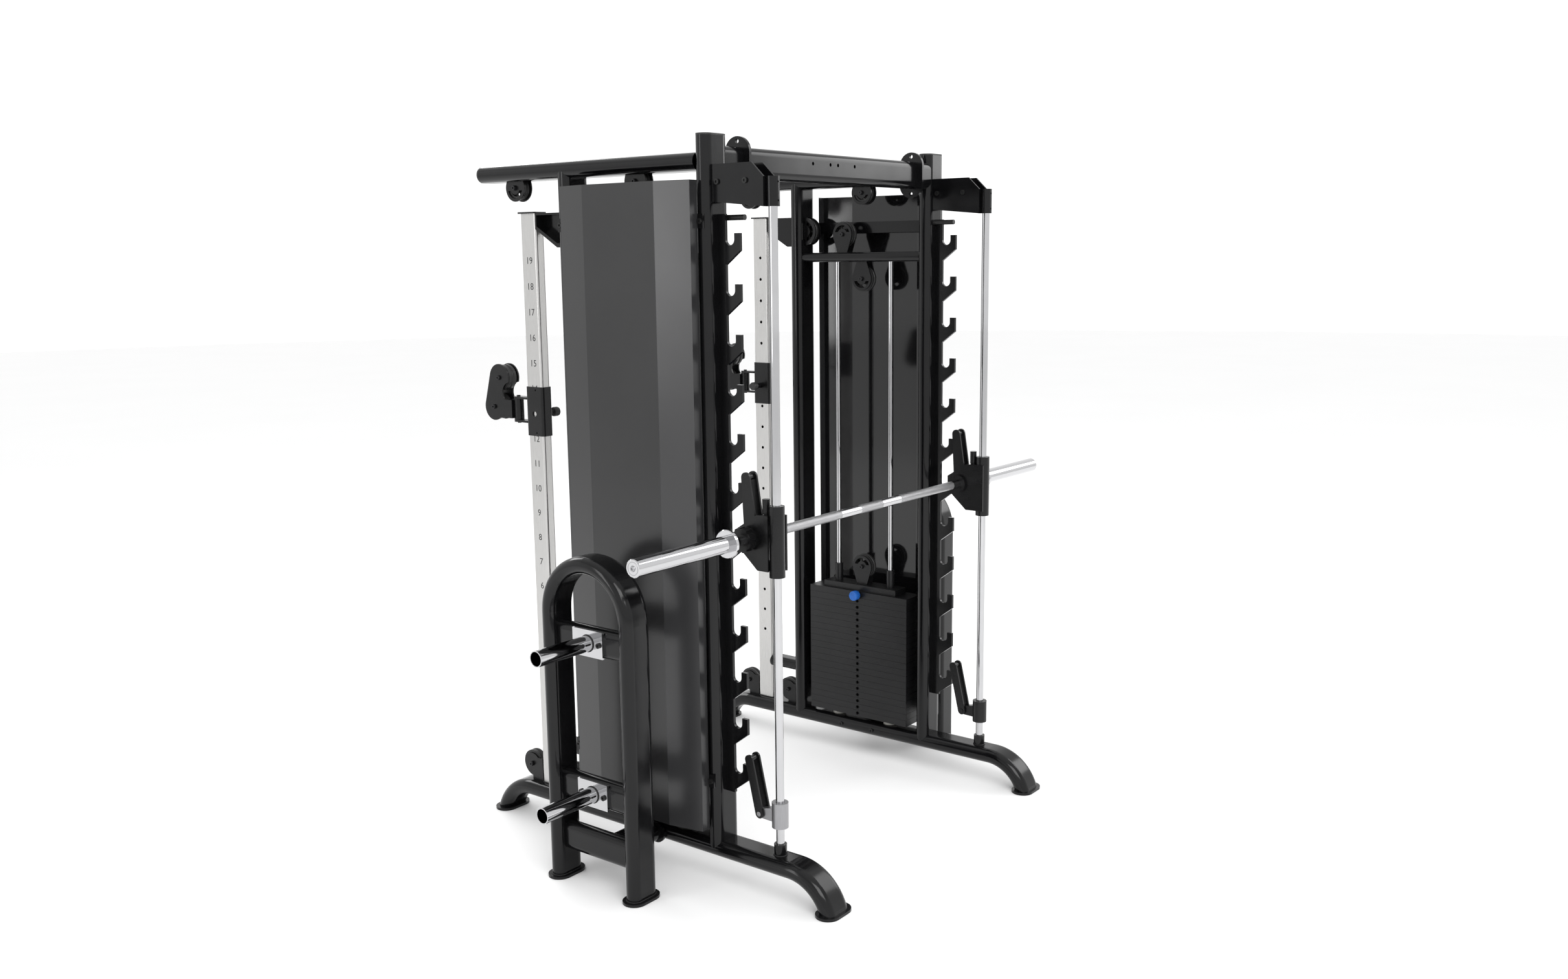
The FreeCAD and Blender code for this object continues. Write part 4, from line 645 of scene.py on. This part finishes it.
def rib_growth():
    """Grip ribs spaced evenly round the Z axis through each point."""
    tree = Growth("Grip_ribs", ("Ring radius", "Rib radius", "Rib length", "Ribs"))
    ring = tree.add("GeometryNodeMeshCircle", {
        "Vertices": tree.entry["Ribs"], "Radius": tree.entry["Ring radius"]})
    rib = tree.add("GeometryNodeMeshCylinder", {
        "Vertices": 6, "Radius": tree.entry["Rib radius"], "Depth": tree.entry["Rib length"]})
    ribs = tree.placed(ring.outputs[0], rib.outputs["Mesh"])
    return tree.finish(tree.placed(tree.entry["Geometry"], ribs, tree.aimed()))


def rounded_loop(centre, across, along, half_across, half_along, radius):
    """Points round a rectangle with rounded corners, or a circle when both halves equal the radius."""
    points = []
    for quarter, (side, end) in enumerate(((1, 1), (-1, 1), (-1, -1), (1, -1))):
        for step in range(7):
            turn = math.radians(90 * quarter + 15 * step)
            reach_across = side * (half_across - radius) + radius * math.cos(turn)
            reach_along = end * (half_along - radius) + radius * math.sin(turn)
            points.append(Vector(centre) + Vector(across) * reach_across + Vector(along) * reach_along)
    return points


def surface(node, start, direction):
    """Where a straight line first meets a node."""
    mesh = frame["nodes"][node].data
    tree = BVHTree.FromPolygons([v.co for v in mesh.vertices], [face.vertices for face in mesh.polygons])
    return tree.ray_cast(Vector(start), Vector(direction))[0]


class SMITH_OT_axle_screws(bpy.types.Operator):
    """Put a socket screw on both ends of every pulley's axle"""
    bl_idname = "smith.axle_screws"
    bl_label = "Axle screws"

    def execute(self, context):
        sizes = context.scene.smith_details
        growth = screw_growth()
        finish = powder_coat("Axle_screws", (0.014, 0.014, 0.015), 0.18, 0.04)
        places = {}
        for joint in PULLEYS:
            parent = joint["parent"]
            side = joint["name"].rsplit("_", 1)[1]
            carriers = {"frame": "pulley_brackets", f"stack_{side}": f"top_plate_{side}"}
            node = carriers.get(parent, parent)
            x, y, z = joint["pos_m"]
            for out in (-1, 1):
                at = surface(node, (x + out * 0.1, y, z), (-out, 0, 0))
                places.setdefault(parent, []).append((at, (out, 0, 0)))
        for parent, aimed in places.items():
            mesh = grown(growth, aimed_points(aimed), {
                "Head radius": sizes.screw_radius, "Head height": sizes.screw_height,
                "Socket radius": sizes.screw_radius * 0.48}, finish)
            riding(f"axle_screws_{parent}", mesh, parent)
        return {"FINISHED"}


class SMITH_OT_welds(bpy.types.Operator):
    """Lay ripples of weld round the horns, the arch feet, the column feet and the rod sockets"""
    bl_idname = "smith.welds"
    bl_label = "Weld beads"

    def execute(self, context):
        sizes = context.scene.smith_details
        loops = []
        for side in (-1, 1):
            for z in HORN_HEIGHTS:
                root = (side * HORN_ROOT_X, ARCH_Y, z)
                loops.append(rounded_loop(root, Y_AXIS, Z_AXIS, 0.024, 0.024, 0.024))
            for end in (-1, 1):
                leg = (side * ARCH_X, ARCH_Y + end * ARCH_LEG, FOOT_TOP)
                loops.append(rounded_loop(leg, X_AXIS, Y_AXIS, 0.050, 0.025, 0.025))
            column = (side * SIDE_X, COLUMN_Y, RAIL_TOP)
            loops.append(rounded_loop(column, X_AXIS, Y_AXIS, 0.018, 0.035, 0.008))
            socket = (side * SIDE_X, ROD_Y, RAIL_TOP)
            loops.append(rounded_loop(socket, X_AXIS, Y_AXIS, 0.019, 0.019, 0.019))
        paint = powder_coat("Painted_welds", context.scene.smith_paints.frame_black,
                            context.scene.smith_paints.gloss, 0.08)
        mesh = grown(weld_growth(), paths(loops), {
            "Bead radius": sizes.bead_radius, "Ripple pitch": sizes.bead_pitch}, paint)
        riding("weld_beads", mesh, "frame")
        return {"FINISHED"}


class SMITH_OT_lips(bpy.types.Operator):
    """Mould a lip on both faces of every pulley"""
    bl_idname = "smith.lips"
    bl_label = "Pulley lips"

    def execute(self, context):
        sizes = context.scene.smith_details
        growth = rim_growth()
        nylon = moulded("Pulley_lips", (0.030, 0.030, 0.030), 0.30, 260.0)
        for joint in PULLEYS:
            body = joint["child"]
            low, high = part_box(body)
            radius = (high.z - low.z) / 2 * sizes.lip_share
            x, y, z = joint["pos_m"]
            aimed = []
            for out in (-1, 1):
                at = surface(body, (x + out * 0.1, y, z + radius), (-out, 0, 0))
                aimed.append(((at.x, y, z), (out, 0, 0)))
            mesh = grown(growth, aimed_points(aimed), {
                "Rim radius": radius, "Wire radius": sizes.lip_wire}, nylon)
            riding(f"lips_{body}", mesh, body)
        return {"FINISHED"}


class SMITH_OT_pin_rims(bpy.types.Operator):
    """Ring the selector holes of the weight plates and the ends of the bar's sleeves"""
    bl_idname = "smith.pin_rims"
    bl_label = "Pin hole rims"

    def execute(self, context):
        sizes = context.scene.smith_details
        growth = rim_growth()
        steel = brushed("Turned_rims", (0.42, 0.42, 0.43), (1.0, 24.0, 24.0), 0.22, 0.36)
        black = powder_coat("Pin_hole_rims", (0.003, 0.003, 0.003), 0.30, 0.04)
        low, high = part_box("weight_plates")
        pitch = (high.z - low.z + PLATE_GAP) / STACK_ROWS
        holes = []
        for side in (-1, 1):
            for row in range(STACK_ROWS):
                holes.append(((side * STACK_FACE, STACK_Y, low.z + PIN_RISE + row * pitch), (-side, 0, 0)))
        mesh = grown(growth, aimed_points(holes), {
            "Rim radius": sizes.hole_radius, "Wire radius": sizes.lip_wire}, black)
        riding("stack_hole_rims", mesh, "frame")
        ends = [((side * BAR_END, BAR_Y, BAR_Z), (side, 0, 0)) for side in (-1, 1)]
        mesh = grown(growth, aimed_points(ends), {"Rim radius": 0.0175, "Wire radius": sizes.lip_wire}, steel)
        riding("sleeve_end_rings", mesh, "bar")
        mesh = grown(screw_growth(), aimed_points(ends), {
            "Head radius": 0.0085, "Head height": 0.0030, "Socket radius": 0.0042}, steel)
        riding("sleeve_end_screws", mesh, "bar")
        return {"FINISHED"}


class SMITH_OT_knob_ribs(bpy.types.Operator):
    """Mould grip ribs round the selector and pop-pin knobs"""
    bl_idname = "smith.knob_ribs"
    bl_label = "Knob ribs"

    def execute(self, context):
        sizes = context.scene.smith_details
        growth = rib_growth()
        blue = moulded("Selector_ribs", context.scene.smith_paints.selector_blue, 0.28, 300.0)
        black = moulded("Pop_pin_ribs", (0.024, 0.024, 0.024), 0.40, 420.0)
        for side in ("left", "right"):
            knobs = ((f"selector_pin_{side}", blue, 0.022), (f"pop_pin_{side}", black, 0.020))
            for node, finish, long in knobs:
                body = BODY_OF[node]
                low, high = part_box(node)
                radius = (high.z - low.z) / 2
                out = 1 if side == "left" else -1
                middle = (high.x if out > 0 else low.x) - out * long / 2
                at = (middle, (low.y + high.y) / 2, (low.z + high.z) / 2)
                mesh = grown(growth, aimed_points([(at, (out, 0, 0))]), {
                    "Ring radius": radius, "Rib radius": sizes.rib_radius, "Rib length": long * 0.8,
                    "Ribs": float(sizes.ribs)}, finish)
                riding(f"knob_ribs_{body}", mesh, body)
        return {"FINISHED"}


# ---- studio ----
def area_light(name, place, aim, size, power):
    """A soft box at one place, turned towards another."""
    lamp = bpy.data.lights.new(name, "AREA")
    lamp.shape = "RECTANGLE"
    lamp.size, lamp.size_y = size
    lamp.energy = power
    holder = bpy.data.objects.new(name, lamp)
    holder.location = place
    holder.rotation_euler = (Vector(aim) - Vector(place)).to_track_quat("-Z", "Y").to_euler()
    bpy.context.scene.collection.objects.link(holder)


def floor_finish(colour):
    """Pale floor paint, faintly cloudy."""
    floor = Finish("Studio_floor")
    cloud = floor.noise(0.7, 2.0)
    floor.colour(floor.blend(floor.span(cloud, 0.3, 0.7), darker(colour, 0.985), colour))
    floor.roughness(floor.span(cloud, 0.3, 0.7, 0.55, 0.62))
    return floor.material


class SMITH_OT_stage(bpy.types.Operator):
    """Lay the pale floor, hang the soft lights and set up the camera"""
    bl_idname = "smith.stage"
    bl_label = "Studio"

    def execute(self, context):
        studio = context.scene.smith_studio
        mesh = bpy.data.meshes.new("studio_floor")
        disc = bmesh.new()
        bmesh.ops.create_circle(disc, cap_ends=True, segments=96, radius=studio.floor_radius)
        bmesh.ops.translate(disc, verts=disc.verts, vec=(0, 0, -0.0005))
        disc.to_mesh(mesh)
        disc.free()
        mesh.materials.append(floor_finish(studio.floor))
        floor = bpy.data.objects.new("studio_floor", mesh)
        context.scene.collection.objects.link(floor)

        world = bpy.data.worlds.new("Pale_surround")
        world.use_nodes = True
        nodes, links = world.node_tree.nodes, world.node_tree.links
        split = nodes.new("ShaderNodeSeparateXYZ")
        links.new(nodes.new("ShaderNodeTexCoord").outputs["Generated"], split.inputs["Vector"])
        ramp = nodes.new("ShaderNodeValToRGB")
        ramp.color_ramp.elements[0].position = 0.0
        ramp.color_ramp.elements[0].color = (1.0, 1.0, 1.0, 1)
        ramp.color_ramp.elements[1].position = 1.0
        ramp.color_ramp.elements[1].color = (1.0, 1.0, 1.0, 1)
        for position, shade in ((0.47, 1.0), (0.56, 0.70), (0.80, 0.88)):
            ramp.color_ramp.elements.new(position).color = (shade, shade, shade, 1)
        links.new(split.outputs["Z"], ramp.inputs["Fac"])
        links.new(ramp.outputs["Color"], nodes["Background"].inputs["Color"])
        nodes["Background"].inputs["Strength"].default_value = studio.world
        context.scene.world = world

        area_light("Key_softbox", (-3.4, -5.0, 5.4), (0, 0, 0.9), (4.5, 3.5), studio.key_power)
        area_light("Fill_softbox", (5.4, -3.0, 4.0), (0, 0, 1.0), (3.0, 3.6), studio.fill_power)
        area_light("Rear_strip", (1.0, 5.4, 4.6), (0, 0, 1.2), (4.2, 1.6), studio.fill_power)
        area_light("Side_strip", (-6.4, 2.4, 2.8), (0, 0, 1.1), (1.2, 3.6), studio.fill_power * 0.5)

        lens = bpy.data.cameras.new("Main_camera")
        lens.sensor_width = 36.0
        lens.lens = 32.02
        lens.clip_end = 200.0
        camera = bpy.data.objects.new("Main_camera", lens)
        forward = Vector((0.7798, 0.6038, -0.1656)).normalized()
        right = forward.cross(Vector((0, 0, 1))).normalized()
        up = right.cross(forward)
        roll = math.radians(-0.63)
        leaned = right * math.cos(roll) + up * math.sin(roll)
        upright = up * math.cos(roll) - right * math.sin(roll)
        turn = Matrix((leaned, upright, -forward)).transposed()
        camera.matrix_world = Matrix.Translation((-3.604, -2.860, 1.854)) @ turn.to_4x4()
        context.scene.collection.objects.link(camera)
        context.scene.camera = camera
        context.scene.view_settings.view_transform = "Standard"
        return {"FINISHED"}


# ---- panel ----
OPERATORS = (SMITH_OT_stage, SMITH_OT_finishes, SMITH_OT_numbers, SMITH_OT_axle_screws, SMITH_OT_welds,
             SMITH_OT_lips, SMITH_OT_pin_rims, SMITH_OT_knob_ribs)


class SMITH_PT_sidebar(bpy.types.Panel):
    """Lists the machine's pieces and their settings"""
    bl_idname = "SMITH_PT_sidebar"
    bl_label = "Smith Machine"
    bl_space_type = "VIEW_3D"
    bl_region_type = "UI"
    bl_category = "Smith Machine"

    def draw(self, context):
        for operator in OPERATORS:
            self.layout.operator(operator.bl_idname)
        for name in GROUPS:
            group = getattr(context.scene, name)
            box = self.layout.box()
            for setting in group.bl_rna.properties:
                if setting.identifier not in {"rna_type", "name"}:
                    box.prop(group, setting.identifier)


GROUPS = {"smith_paints": SmithPaints, "smith_numbers": SmithNumbers, "smith_details": SmithDetails,
          "smith_studio": SmithStudio}


def register():
    for name, group in GROUPS.items():
        bpy.utils.register_class(group)
        setattr(bpy.types.Scene, name, PointerProperty(type=group))
    for operator in OPERATORS:
        bpy.utils.register_class(operator)
    bpy.utils.register_class(SMITH_PT_sidebar)


def unregister():
    bpy.utils.unregister_class(SMITH_PT_sidebar)
    for operator in reversed(OPERATORS):
        bpy.utils.unregister_class(operator)
    for name, group in reversed(GROUPS.items()):
        delattr(bpy.types.Scene, name)
        bpy.utils.unregister_class(group)


def main():
    register()
    for operator in OPERATORS:
        group, call = operator.bl_idname.split(".")
        getattr(getattr(bpy.ops, group), call)()


if __name__ == "__main__":
    main()
